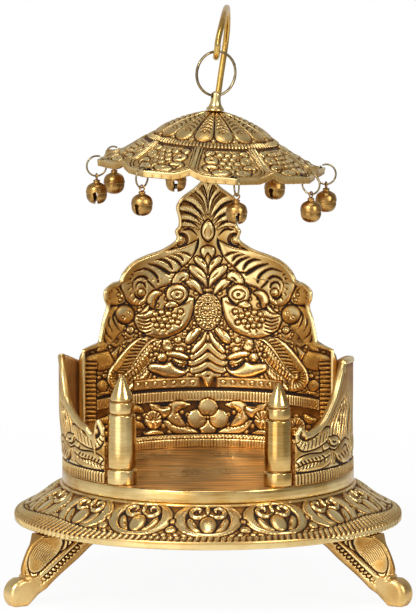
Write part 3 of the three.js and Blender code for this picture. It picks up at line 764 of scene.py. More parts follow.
@dataclass(frozen=True)
class SweepPaper:
    """Matt white backdrop paper: plain white to the eye, with only a soft, pale shadow."""

    name: str = "matt_white_paper"
    colour: str = "fdfdfd"
    glow: float = 0.94
    fade_start: float = 0.2
    fade_end: float = 0.5

    def build(self) -> Material:
        """Makes the material.

        Returns:
            The material.
        """
        material, tree, shader, place = started(self.name)
        shader.inputs["Roughness"].default_value = 0.9
        fibre = node(tree, "TexNoise", {"Vector": place, "Scale": 900.0}).outputs["Fac"]
        tree.links.new(ramp(tree, fibre, [(0.0, "fafafa"), (1.0, self.colour)]), shader.inputs["Base Color"])
        # The paper glows for the eye alone, which pales its shadow, and
        # gives way to the white room farther out
        seen = node(tree, "LightPath").outputs["Is Camera Ray"]
        share = node(tree, "Math", {0: seen, 1: self.glow}, operation="MULTIPLY").outputs[0]
        white = node(tree, "Emission", {"Color": (1, 1, 1, 1), "Strength": 1.0}).outputs[0]
        lit = node(tree, "MixShader", {0: share, 1: shader.outputs[0], 2: white}).outputs[0]
        away = node(tree, "VectorMath", {0: place}, operation="LENGTH").outputs["Value"]
        fade = node(tree, "MapRange", {0: away, 1: self.fade_start, 2: self.fade_end, 3: 0.0,
            4: 1.0}).outputs[0]
        clear = node(tree, "BsdfTransparent").outputs[0]
        whole = node(tree, "MixShader", {0: fade, 1: lit, 2: clear}).outputs[0]
        tree.links.new(whole, tree.nodes["Material Output"].inputs["Surface"])
        return material


@dataclass
class Finishes:
    """Every finish of the throne, made once."""

    cast: Material
    bright: Material
    seat: Material
    rod: Material
    ring: Material
    bell: Material
    steel: Material

    @classmethod
    def make(cls) -> "Finishes":
        """Makes the finishes.

        Returns:
            The finishes.
        """
        return cls(
            cast=CastBrass("sand_cast_antique_brass").build(),
            bright=TurnedMetal("turned_polished_brass", "c79a4e", "f0d596", stretch=(1, 1, 14),
                line_depth_mm=0.004, mottle_mm=16).build(),
            seat=TurnedMetal("brushed_brass_seat", "562e10", "f6c27c", 0.32, (1, 20, 1), 1.1, 0.06, 40,
                streak=2.0).build(),
            rod=TurnedMetal("drawn_golden_brass_rod", "c8943c", "f6cd76", 0.18, (6, 6, 1),
                line_mm=0.3).build(),
            ring=TurnedMetal("dull_brass_wire", "7c6a46", "b4a27a", 0.28, (1, 1, 1), 0.8,
                line_depth_mm=0.002).build(),
            bell=TurnedMetal("cast_bell_bronze", "875f30", "d0a45e", 0.3, (1, 1, 3), line_depth_mm=0.02,
                mottle_mm=3).build(),
            steel=TurnedMetal("zinc_plated_steel", "6f6f6c", "b9b8b2", 0.35, (1, 1, 4), line_mm=0.4).build(),
        )


# Where things stand


@dataclass(frozen=True)
class Stand:
    """The seat's axis and height, read from the frame, in millimetres."""

    axis_y: float
    seat_z: float

    @classmethod
    def read(cls) -> "Stand":
        """Reads the stand from the drum's box."""
        low, high = box_mm("seat_drum")
        return cls((low[1] + high[1]) / 2, high[2])

    def placed(self, x: Array, y: Array, z: Array) -> Array:
        """Points about the seat's centre as points in the row's frame."""
        return np.stack([x, y + self.axis_y, z + self.seat_z], axis=-1)


SQUARE = 0.4
SHEET_MIDDLE = 208.0
SHEET_SEAT = 466.6


def sheet(x: Array, y: Array, z: Array) -> tuple[Array, Array]:
    """Where a point about the seat's centre falls on the front drawing.

    The drawing has squares of 0.4 mm. Its middle line is at 208 and the seat's centre at 466.6,
    counted downwards, and it looks down by 9 degrees, so depth lifts a point a little.
    """
    return SHEET_MIDDLE + np.abs(x) / SQUARE, SHEET_SEAT - (0.987 * z + 0.16 * y) / SQUARE


# Back panel


def ground(m: Relief) -> None:
    """Small cobbles that fill the ground between the forms."""
    for i, (u, v) in enumerate((u, v) for v in range(250, 392, 6) for u in range(209, 330, 6)):
        m.bead((u + 2.2 * sin(i * 2.4), v + 2.2 * cos(i * 1.7)), 2.2, 2, 0.95, 0.9)


def crest(m: Relief) -> None:
    """The palmette fan at the top with its volutes and drop.

    Args:
        m: The relief.
    """
    m.patch((200, 176, 213, 177, 224, 184, 232, 194, 236, 206, 241, 214, 243, 226, 239, 233, 240, 240, 232,
        246, 222, 254, 206, 252, 196, 240), 0.7, 2, 0.1, 0.3)
    for path, width in (
        ((206.4, 212, 207.2, 198, 210.4, 184, 213, 178), 3.4),
        ((208.4, 211, 211.4, 199, 217, 190, 223, 184), 4),
        ((210.4, 213.6, 216, 204, 223.4, 197.6, 231.4, 194.4), 4.2),
        ((212.6, 217.6, 219, 210.6, 227, 206, 235.4, 204.6), 4),
        ((214.6, 221.4, 221, 217, 229, 214, 237.4, 214.4), 3.4),
        ((216.6, 226.4, 223, 222.8, 230, 221, 237.4, 222.6), 2.8),
    ):
        m.stroke(path, width, 1.25, DROP, 0.9, 0.5)
        ua, va, _, _, ub, vb = path[2:]
        for off in (-1, 0.5):
            m.carve([(ua + off, va + off), (ub - 0.6 + off, vb + off)], 0.55, 0.4)
    m.carves(
        COMMA, (1, 1.1, 213.4, 181, 210.2, 189, 208.2, 200),
        (1.1, 1.1, 222.6, 186.6, 214.2, 195, 209.4, 207),
        (1.2, 1.1, 231, 197.4, 220.6, 203.6, 212.2, 214.4),
        (1.1, 1.1, 234.4, 207.8, 222.6, 212, 214.8, 220), (1, 1.1, 236, 218, 225, 218.8, 217.4, 223.4),
        (1.3, 1.1, 233.4, 226.8, 225, 226.4, 218.2, 233),
    )
    m.carve((236.4, 231.2, 231.2, 232.4, 229, 237, 231.6, 242, 236.8, 243.4, 240.4, 241), 2, 1.3, COMMA)
    m.bead((236.2, 236.6), 4.3, 4.6, 1.45, 0.3)
    for v, start in ((243.2, 219.5), (247.4, 221), (251.4, 222.5)):
        m.carve([(start, v), (start + 6, v - 0.4), (start + 12, v + 0.6)], 0.8, 0.8)
    m.carve((217.6, 236, 218.6, 244, 223.4, 254), 1.2, 1.3, EVEN)
    m.stroke((207, 216.6, 206.8, 224, 206.6, 233), 8.2, 1.45, DROP, 1.8, 0.5, 4)
    m.carves(
        LEAF, (1, 0.8, 205.2, 223.6, 202.8, 229, 204.6, 235),
        (0.8, 0.5, 208.6, 224, 211.4, 229, 209, 235),
    )
    m.patch((208, 243, 214, 245, 215, 250, 211, 256, 204, 256, 199, 250, 201, 245), 1.25, 3, 1.4)


def shoulder(m: Relief) -> None:
    """The acanthus that sweeps over the shoulder and curls round a ball.

    Args:
        m: The relief.
    """
    m.patch(
        (219, 238, 232, 244, 246, 247, 262, 250, 277, 256, 289, 265, 295, 277, 293, 290, 286, 302, 275, 303,
            266, 296, 258, 286, 246, 281, 238, 268, 228, 259, 222, 250),
        1.25, 2.2, 1.5, 0.4,
    )
    m.carves(
        COMMA, (1.2, 1.25, 224.4, 254, 229.8, 250.6, 239.4, 248.8),
        (1.3, 1.25, 232.2, 258.6, 236.4, 253.6, 245.8, 251),
        (1.7, 1.25, 233.6, 264.8, 240.4, 257.8, 251, 253.8),
        (1.7, 1.25, 243, 267.6, 247, 261, 253.4, 257.4, 261, 257.4),
        (2.3, 1.25, 245.4, 272.2, 251, 268.4, 259, 264, 269, 261.4),
        (1.6, 1.25, 257.8, 281, 259, 275, 264, 269.6, 272, 266.6, 282.6, 269.6),
        (0.9, 1.25, 236.4, 269, 243, 270.4, 250, 269),
        (1.35, 1.25, 260.4, 287, 266.6, 280.6, 270, 275.8, 275.6, 274.2, 281.6, 277.6, 283.8, 283, 282.4,
            288.6),
        (1.35, 1.25, 270.4, 286.4, 272, 281.6, 276.6, 280, 279.8, 283, 280, 288),
        (0.7, 1.25, 282.6, 273.4, 285.8, 272.2), (0.7, 1.25, 284.4, 277, 288, 276.6),
        (0.7, 1.25, 285.4, 281.4, 289.4, 282), (0.7, 1.25, 285.6, 286, 288.8, 288),
        (0.7, 1.25, 284.6, 291, 287, 294), (0.7, 1.25, 281.4, 295, 283, 299),
        (0.7, 1.25, 276.6, 298, 277.4, 301.6),
    )
    m.carve((271.8, 294.6, 276.4, 297, 280.8, 294, 282, 289.8), 1.6, 1.3, COMMA)
    m.bead((274.6, 290.6), 4.5, 4.5, 1.4, 0.4)
    for u in (263.4, 266.4):
        m.carve([(u, 281), (u + 4, 275.4)], 0.5, 0.4)


def palmette(m: Relief) -> None:
    """The second palmette, four pairs of folded leaves on a stem over the disc.

    Args:
        m: The relief.
    """
    m.stroke((206, 252, 206, 270, 206, 292), 5, 1, EVEN, 0.6)
    for path, width, fold in (
        ((208.6, 272, 212.6, 263, 219, 256.4), 4.2, (210.6, 263, 214.6, 257.6)),
        ((209, 285, 214, 274.6, 223.6, 265.8), 5.4, (210.8, 277.4, 219.8, 268.6)),
        ((213, 293, 219, 285, 227, 279), 5, (218, 290, 225, 282.4)),
    ):
        m.stroke(path, width, 1.35, DROP, 1.6, 0.7)
        m.carve(fold, 0.9, 0.9)
    m.carve((205.8, 256, 205.8, 288), 0.5, 0.3)


def daisy(m: Relief) -> None:
    """The grained disc, its lower petals and the chevrons under them.

    Args:
        m: The relief.
    """
    for path, width in (
        ((208.2, 371, 214.4, 374.6, 219.4, 373.6), 2.6),
        ((208.2, 362.6, 216, 367.4, 224.4, 369.6), 3.4),
        ((208.2, 352.8, 216.4, 358.8, 225.6, 362.2), 3.6),
        ((208.2, 343, 215.6, 350.6, 225, 356.6), 3.2),
    ):
        m.stroke(path, width, 1.25, EVEN, 1.4, 0.6)
        m.carve(spots(path) + (0, 0.2), 0.6, 0.35, EVEN)
    m.stroke((209.4, 329, 213.4, 339, 223, 350), 3.2, 1.3, DROP, 1.5, 0.7)
    m.carve((212, 334, 220.6, 346), 0.6, 0.5)
    m.stroke((213.6, 324, 220, 331, 227.6, 339), 5.2, 1.4, DROP, 1.6, 0.7)
    m.carves(LEAF, (1, 0.9, 219.4, 327, 226, 334), (0.7, 0.6, 215.4, 331, 223, 341.6))
    m.bead((207, 309.8), 14.6, 18.6, 1.35, 1.8, 0.45)
    for ring, count in ((0, 1), (3.3, 6), (6.4, 11), (9.4, 17), (12.4, 23)):
        for turn in (TURN * k / count + ring for k in range(count)):
            m.bead((207 + abs(ring * cos(turn)), 309.8 + ring * 1.28 * sin(turn)), 1.2, 1.2, 1.6, 0.6)


def side_lobes(m: Relief) -> None:
    """Shells, a bulb and gouged leaves between the tail and the panel's edge.

    Args:
        m: The relief.
    """
    m.patch((297, 284, 306, 285, 312, 292, 311, 301, 304, 304, 294, 302, 291, 297), 1.25, 3, 1.5)
    m.carve((300.9, 286.6, 298, 288.6, 295.8, 290.6), 1, 0.9)
    m.beads((297.4, 293, 2.2, 2, 1.35, 0.8), (295.4, 298.4, 2.4, 2, 1.3, 0.8))
    for turn in (-70, -35, 0, 35):
        c, s = heading(turn)
        m.carve([(303 + 3 * c, 294.4 + 3 * s), (303 + 6.6 * c, 294.4 + 7 * s)], 0.6, 0.5)
    m.patch((292, 304, 305, 306, 313, 316, 316, 330, 317, 344, 318, 354, 308, 346, 298, 334, 290, 322), 1.2,
        2.5, 1.2, 0.4)
    m.bead((290.6, 313), 9.4, 9.6, 1.4, 1.5)
    m.carves(
        COMMA, (1.5, 1.2, 299.6, 308.4, 302.6, 315, 300.6, 323, 297, 329),
        (1.2, 1.2, 306.4, 316, 307, 323, 303.6, 331), (1.2, 1.2, 312, 322, 309.8, 332, 303.6, 339),
        (1.1, 1.2, 313.4, 331, 310.4, 341, 305.2, 349.6), (0.9, 1.2, 306, 343, 298.2, 348.6),
        (1.2, 1.2, 311, 350.6, 302.6, 358.2),
    )
    m.beads((288, 311, 1.4, 1.2, 1.6, 0.5), (293.4, 315.6, 1.4, 1.2, 1.6, 0.5))
    m.stroke((296, 345, 301.6, 354, 303, 360), 4.4, 1.3, DROP, 1.3)
    m.patch((307, 350, 318, 352, 326, 357, 325, 366, 316, 370, 306, 367, 302, 360), 1.3, 4, 1.4, 0.7)
    m.beads(
        (312.6, 385, 5.4, 6, 1.3, 1.3), (310.4, 375, 2.4, 2.2, 1.2, 1),
        (316, 377, 1.8, 2, 1.1, 1),
    )
    m.stroke((304, 391, 310, 392.6, 317, 393), 1.5, 1.1, LEAF, 0.9)
    bars = (m.v - 361) / 4.4
    mask = eased(m.u, 318.8, 319.6) * (1 - eased(m.u, 328, 329))
    mask = mask * eased(m.v, 359, 361) * (1 - eased(m.v, 421, 423))
    m.fill(mask > 0.5, np.maximum(m.h, 1.2))
    m.flute(bars, mask, 1.25, 0.8)
    m.carve((318.4, 362, 318.4, 392, 318.4, 420), 0.7, 0.8, EVEN)


def tail(m: Relief) -> None:
    """The peacock's tail: two plumes with ribs and barbs.

    Args:
        m: The relief.
    """
    m.patch(
        (254, 336, 266, 334.6, 279, 338, 289, 346, 297, 356, 305, 367.6, 308, 379, 305, 385.4, 300, 389.4,
            291, 390.6, 283, 388, 275, 384, 268, 374, 261, 358, 256, 346),
        1.25, 2, 1.8, 0.35,
    )
    main = curve_through((257, 336.6, 264, 339, 271.4, 345.8, 278.4, 355.4, 285.6, 366.4, 294.6, 375.4), 6)
    side = curve_through((257, 340, 261, 350, 267, 361, 275, 370, 284, 377, 289, 384), 6)
    for i in range(4, len(main) - 1, 2):
        du, dv = main[i] - main[i - 1]
        turn = atan2(dv, du) - 0.72
        reach = 8.4 + 4.5 * sin(pi * i / len(main))
        m.carve([off(main[i], 1.8, turn), off(main[i], reach, turn - 0.12)], 0.95, 1.05, EVEN)
        turn = atan2(dv, du) + 0.95
        m.carve([off(main[i], 1.6, turn), off(main[i], 6, turn)], 0.75, 0.9, EVEN)
    for k in range(9):
        turn = radians(-38 + k * 17)
        m.carve([off((294.6, 376), 2.6, turn), off((294.6, 376.4), 11.4, turn)], 0.8, 1, EVEN)
    for i in range(3, len(side) - 1, 2):
        u, v = side[i]
        m.carve([(u + 0.6, v - 0.6), (u + 3.4, v - 5.6)], 0.8, 1, EVEN)
        m.carve([(u - 0.4, v + 1.2), (u + 0.6, v + 7)], 0.8, 0.9, EVEN)
    m.stroke(side, 1.1, 1.4, SPIKE, 0.7)
    m.stroke(main, 1.8, 1.6, SPIKE, 0.9)


def peacock(m: Relief) -> None:
    """The bird: crest, ringed eye, scaled neck and barred wing.

    Args:
        m: The relief.
    """
    m.patch(
        (222, 296, 230, 294, 240, 300, 243, 309, 250, 311, 262, 308, 270, 309, 279, 313, 281, 319, 277, 328,
            268, 334, 256, 336.6, 245, 334, 234, 328.6, 226.4, 319, 223, 307),
        1.35, 5, 1.9, 0.6,
    )
    for u, v in spots((
        241.4, 314, 247.6, 311.8, 254.2, 310.6, 260.4, 312.4, 244, 319.4, 250.6, 317.8, 257, 317.2,
        262.6, 318, 248, 324.6, 253.8, 324, 259.4, 323.6, 235.4, 309.6, 238, 320.4,
    )):
        m.bead((u, v), 2.9, 2.8, 1.6, 0.9)
        m.carve([(u, v - 0.6), (u, v + 0.6)], 0.5, 0.3)
    for k in range(5):
        v = 315.4 + k * 3.7
        m.carve([(265, v - 0.6), (271.6, v + 1.6), (279.6 - k * 0.9, v - 0.4)], 1, 1, EVEN)
    m.carves(
        LEAF, (0.9, 0.8, 248.6, 326.4, 250.4, 329.6, 249.4, 332),
        (0.9, 0.8, 254.6, 325.6, 257, 329, 256, 332), (0.5, 0.35, 229, 303, 231, 313, 238, 324),
    )
    m.beads((285.6, 328.6, 3.6, 3.4, 1.5, 1.4), (285.6, 327.6, 1.1, 1, 1.7, 0.8))
    m.stroke((281, 332, 286, 335.4, 291, 331), 1.6, 1.25, LEAF, 1)
    m.stroke((254, 290.6, 261, 292.4, 264.6, 299, 262.6, 306), 4.6, 1.35, LEAF, 1.6, 0.6)
    m.hatch(4, (255.6, 291.6, 258, 298), (2.2, 0.8, 1.4, 1.6), 0.6, 0.7)
    m.stroke((267, 303, 270, 308, 276, 311.6), 2, 1.2, LEAF, 1.1)
    m.stroke((274, 307, 278, 309.4), 1.8, 1.2, LEAF, 1.1)
    m.stroke((230.4, 273.8, 236, 274.4, 240.4, 280.4), 4.6, 1.35, EVEN, 1.4, 0.5)
    m.carves(
        LEAF, (1.1, 1.2, 230.8, 274.6, 234, 276, 237.6, 279.8),
        (0.9, 1, 241, 273.6, 244, 277, 244.2, 281),
    )
    m.bead((238.8, 292.4), 10.6, 10.4, 1.5, 1.7, 0.6)
    m.patch((240, 300, 246, 299, 250.8, 304.4, 245, 305.6, 238, 303.6), 1.4, 2, 1.2)
    m.carve((244, 302.4, 249.4, 304), 0.5, 0.8)
    m.ring_cut((238.8, 292.4), 6.6, 5.2, 0.8, 1)
    m.bead((238.8, 292.4), 1, 1, 1.2, 0.8)
    m.carves(
        EVEN, (0.9, 1, 227.8, 294, 231.6, 298.8, 236.4, 303),
        (0.8, 1, 225.4, 299.2, 231, 301.8, 236.6, 303.4),
    )


def lower_leaves(m: Relief) -> None:
    """The comma leaves, ball and buds between the chevrons and the tail.

    Args:
        m: The relief.
    """
    m.bead((237.8, 338.6), 3.4, 3.2, 1.3, 1.2)
    m.carve((236.4, 337, 239.6, 339.6), 0.6, 0.7)
    m.patch((243, 346, 247, 338, 252, 338.6, 253, 344, 250.6, 349.6, 246, 350), 1.25, 2.5, 1.4)
    m.hatch(3, (245.4, 347, 248, 341), (2, 0, 1.4, 0), 0.5, 0.7)
    m.bead((236.4, 349.6), 4.9, 4.8, 1.4, 1.3)
    m.patch((226, 365, 232, 369.4, 241, 365.6, 246, 360.6, 252, 363, 258, 362.4, 266, 363, 267, 369, 258,
        373.4, 250, 376, 238, 376, 229, 371.6), 1.35, 4, 1.6, 0.7)
    m.carve((228, 361.6, 232, 366.8, 240.6, 364.4, 244.4, 359), 1.1, 1.2, EVEN)
    m.stroke((227.4, 357, 238, 353.6, 247, 352.6, 253.8, 356), 3.4, 1.35, COMMA, 1.5)
    m.bead((253.6, 356.2), 4.9, 4.8, 1.45, 1.3)
    m.stroke((231, 362, 238, 360.4, 243, 357), 1.4, 1.2, LEAF, 0.8)
    for u, v in ((261, 347.6), (264.6, 354), (259.6, 353)):
        m.bead((u, v), 2.2, 2.4, 1.15, 1.1)


def frieze(m: Relief) -> None:
    """The four-petalled flower with its leaves, fans and sprays.

    Args:
        m: The relief.
    """
    for k in range(15):
        for low in (-9.5, 0, 9.5):
            m.bead((222 + k * 6.1, 420.5 + low + (k % 2) * 3 + k * 0.45), 2.7, 2.7, 0.85, 0.8)
    m.stroke((219, 432, 232, 430, 243, 426, 252, 420.6), 5.4, 1.2, LEAF, 1, 0.5)
    m.hatch(7, (225, 431, 228, 426.4), (3.6, -0.9, 3.6, -1.1), 0.55, 0.8)
    m.stroke((226, 404, 238, 405, 244.4, 412, 239, 420, 231, 425), 6.4, 1.25, LEAF, 1.1, 0.5)
    m.hatch(6, (231, 402.6, 232.6, 407), (2.5, 1.5, 1.5, 2), 0.6, 0.8)
    m.stroke((246, 407, 254, 412, 266, 403.6), 5.6, 1.25, LEAF, 1.1, 0.5)
    m.carve((248, 407, 254, 407.6, 260, 404.6), 0.8, 0.9)
    m.stroke((252, 433, 262, 432, 272, 434), 2.6, 1.2, LEAF, 1.1)
    for u in (262.6, 296):
        drop = 2 if u < 280 else 9
        m.bead((u, 417.6 + drop), 8.4, 9.4, 1.25, 1.2, 0.45)
        for turn in (-165, -140, -115, -90, -65, -40, -15, 90):
            c, s = heading(turn)
            spot = (u + 8.6 * c, 418.4 + drop + 9.4 * s)
            m.carve([(u + 1.4 * c, 419 + drop + 1.4 * s), spot], 0.62, 0.95, EVEN)
    m.stroke((272, 412, 280, 408, 289, 412), 4, 1.25, LEAF, 1.4)
    m.stroke((271, 428, 280, 424, 288, 430), 4, 1.25, LEAF, 1.4)
    m.stroke((303, 414, 309, 420, 315, 419), 3.6, 1.2, LEAF, 1.3)
    m.stroke((303, 430, 309, 434, 316, 432), 3.2, 1.2, LEAF, 1.2)
    for middle, across, along in (((207.4, 426.8), 8.4, 7), ((219, 418.4), 8.6, 8.4),
        ((207.4, 406.4), 9.2, 8.2)):
        m.bead(middle, across + 0.8, along + 0.7, 1.3, 1.1, 0.35)
    for c, s in ((0, 1), (0, -1), (1, 0.05), (0.5, 0.9), (0.5, -0.9), (1, 0.4), (1, -0.4)):
        m.carve([(207.6 + 2.4 * c, 417 + 2.4 * s), (207.6 + 9.6 * c, 417 + 9 * s)], 0.5, 0.45)
    m.bead((207.4, 416.8), 2.4, 2.2, 1.2, 0.9)


@dataclass
class BackPanel:
    """The carved back: a curved wall with two peacocks, a palmette crest and banded foot."""

    stand: Stand
    inner: float = 51.2
    outer: float = 55.2
    half_turn: float = 70.0
    tall: float = 111.4
    relief: float = 1.35
    foot_high: float = 4.5
    flare: float = 1.5
    rows: int = 330
    cols: int = 290
    outline: Run = (
        52, 0, 52, 40.2, 51.4, 42.3, 49.6, 44, 47.2, 45, 43.8, 46, 42.8, 49.4, 41.6, 55.5, 40.2, 60.1,
        41.1, 63.3, 41.1, 66.7, 38.4, 69.1, 35.6, 69.4, 33.6, 73.3, 30, 76.9, 24.8, 79.1, 18.4, 81.1,
        12.8, 84.9, 13.2, 88.5, 11.8, 90.7, 11.8, 94, 12.7, 98.6, 10.4, 102.3, 4.9, 106.4, 0.6, 111.4,
    )

    def half_width(self, z: Array) -> Array:
        """Half the panel's width at a height."""
        edge = self.cut_edge()
        return np.interp(z, np.maximum.accumulate(edge[:, 1]), edge[:, 0])

    def cut_edge(self) -> Array:
        """The outline from its first corner up, with its corners rounded."""
        corners = spots(self.outline)
        return np.vstack([corners[:1], curve_through(corners[1:], 6)])

    def build(self, finishes: Finishes) -> None:
        """Builds and dresses the panel.

        Args:
            finishes: The scene's materials.
        """
        z = np.linspace(0, self.tall, self.rows)[:, None] + np.zeros(self.cols)
        share = np.linspace(-1, 1, self.cols)[None, :] + np.zeros((self.rows, 1))
        wide = self.half_width(z)
        limit = radians(self.half_turn)
        turn_in = share * np.minimum(limit, np.arcsin(np.minimum(wide / self.inner, 0.9999)))
        turn_out = share * np.minimum(limit, np.arcsin(wide / self.outer))
        x, y = self.inner * np.sin(turn_in), self.inner * np.cos(turn_in)
        map_ = Relief(*sheet(x, y, z), level=0.75)
        arc = np.abs(turn_in) * self.inner
        self.draw(map_, arc, z)
        map_.pillow(4, 0.3)
        edge = self.edge_distance(x, z, turn_in)
        heights = map_.grid()
        rim = 1 - eased(edge, 0.8, 1.5)
        heights = heights * (1 - rim) + 1.3 * rim
        map_.h = heights.ravel()
        # Tarnish and rubbing, with painted shade in the grooves and a painted highlight on the crests and rim
        wear_and_painted_light = map_.wear_and_painted_light(5, 0.72)
        wear_and_painted_light = np.clip(wear_and_painted_light * (1 - rim) + rim * 0.8, 0, 1)
        heights = heights - 1.1 * (1 - np.sqrt(1 - np.clip(1 - edge / 1.1, 0, 1) ** 2))
        radius = self.inner + self.relief - heights
        foot = 1 - eased(z, self.foot_high - 0.3, self.foot_high)
        radius = radius - 0.7 * foot + self.flare * eased(np.abs(turn_in), radians(59), limit)
        front = self.stand.placed(radius * np.sin(turn_in), radius * np.cos(turn_in), z + 0.12)
        back = self.stand.placed(self.outer * np.sin(turn_out), self.outer * np.cos(turn_out), z + 0.12)
        piece = Skin(front, back, wear_and_painted_light, 10).mesh("carved_back")
        finished(piece, "throne", finishes.cast, "antique_brass", "back_panel")

    def edge_distance(self, x: Array, z: Array, turn: Array) -> Array:
        """Distance of each point to the cut outline, in millimetres.

        Args:
            x: Place across the panel.
            z: Height over the seat.
            turn: Angle round the axis.

        Returns:
            The distances.
        """
        corners = self.cut_edge()[1:]
        best = np.full(x.shape, 99.0)
        ax = np.abs(x)
        for (au, av), (bu, bv) in zip(corners[:-1], corners[1:]):
            du, dv = bu - au, bv - av
            t = np.clip(((ax - au) * du + (z - av) * dv) / (du * du + dv * dv), 0, 1)
            best = np.minimum(best, np.hypot(ax - au - t * du, z - av - t * dv))
        side = (radians(self.half_turn) - np.abs(turn)) * self.inner
        return np.minimum(best, side)

    def draw(self, m: Relief, arc: Array, z: Array) -> None:
        """Carves the whole panel, from the ground up."""
        for motif in (ground, crest, shoulder, palmette, daisy, side_lobes, tail, peacock, lower_leaves):
            motif(m)
        self.foot_bands(m, arc, z)

    def foot_bands(self, m: Relief, arc: Array, z: Array) -> None:
        """The level bands: rosettes, flutes, the flower frieze and the fluted foot.

        Args:
            m: The relief.
            arc: Distance from the middle along the wall.
            z: Height over the seat.
        """
        flat = z.ravel()
        run = arc.ravel()

        def band(low: float, high: float, level: float) -> None:
            """Levels a band between two heights."""
            m.fill(within(flat, low, high), level)

        keep = m.h.copy()
        band(23.2, 24.2, 0.0)
        strip = within(flat, 24.2, 28.6) & (run < 32.0)
        m.fill(strip, 0.35)
        # A long pad on each side, edged with a bead, that carries small ringed dots
        across = np.clip(np.minimum(2.1 - np.abs(flat - 26.4), np.minimum(run - 3.4, 31.5 - run) * 0.6), 0, 9)
        pad = strip & (across > 0)
        m.fill(pad, 0.35 + 0.65 * np.sqrt(np.clip(across / 0.8, 0, 1)))
        m.fill(pad & (across > 0.75), 0.85)
        away = np.hypot(run - 6.2 - np.round((run - 6.2) / 3.9) * 3.9, flat - 26.4)
        m.fill(pad & (away < 1.25), 0.45)
        m.fill(pad & (away < 0.85), 1.2)
        # The lowest chevron's point hangs between the two pads
        half = 2.5 * np.clip((flat - 24.3) / 4.3, 0, 1) ** 0.7
        m.fill(strip & (run < half), 0.55 + 0.6 * np.sqrt(np.clip((half - run) / 1.2, 0, 1)))
        band(18.9, 23.2, 1.2)
        m.flute(run / 1.29, within(flat, 19.1, 22.9), 1.0, 0.7)
        band(18.3, 18.9, 0.0)
        band(22.9, 23.3, 0.1)
        band(5.6, 18.3, 0.3)
        m.fill(run >= 53.2, keep)
        frieze(m)
        keep = m.h.copy()
        band(5.0, 5.6, 0.0)
        band(-1, 5.0, 1.25)
        m.flute(run / 1.2, within(flat, 0.2, 3.2), 0.55, 0.7)
        m.flute(run / 1.45, within(flat, 3.7, 4.6), 0.9, 0.7)
        band(3.2, 3.65, 0.5)
        m.fill(run >= 60.5, keep)


# Arms


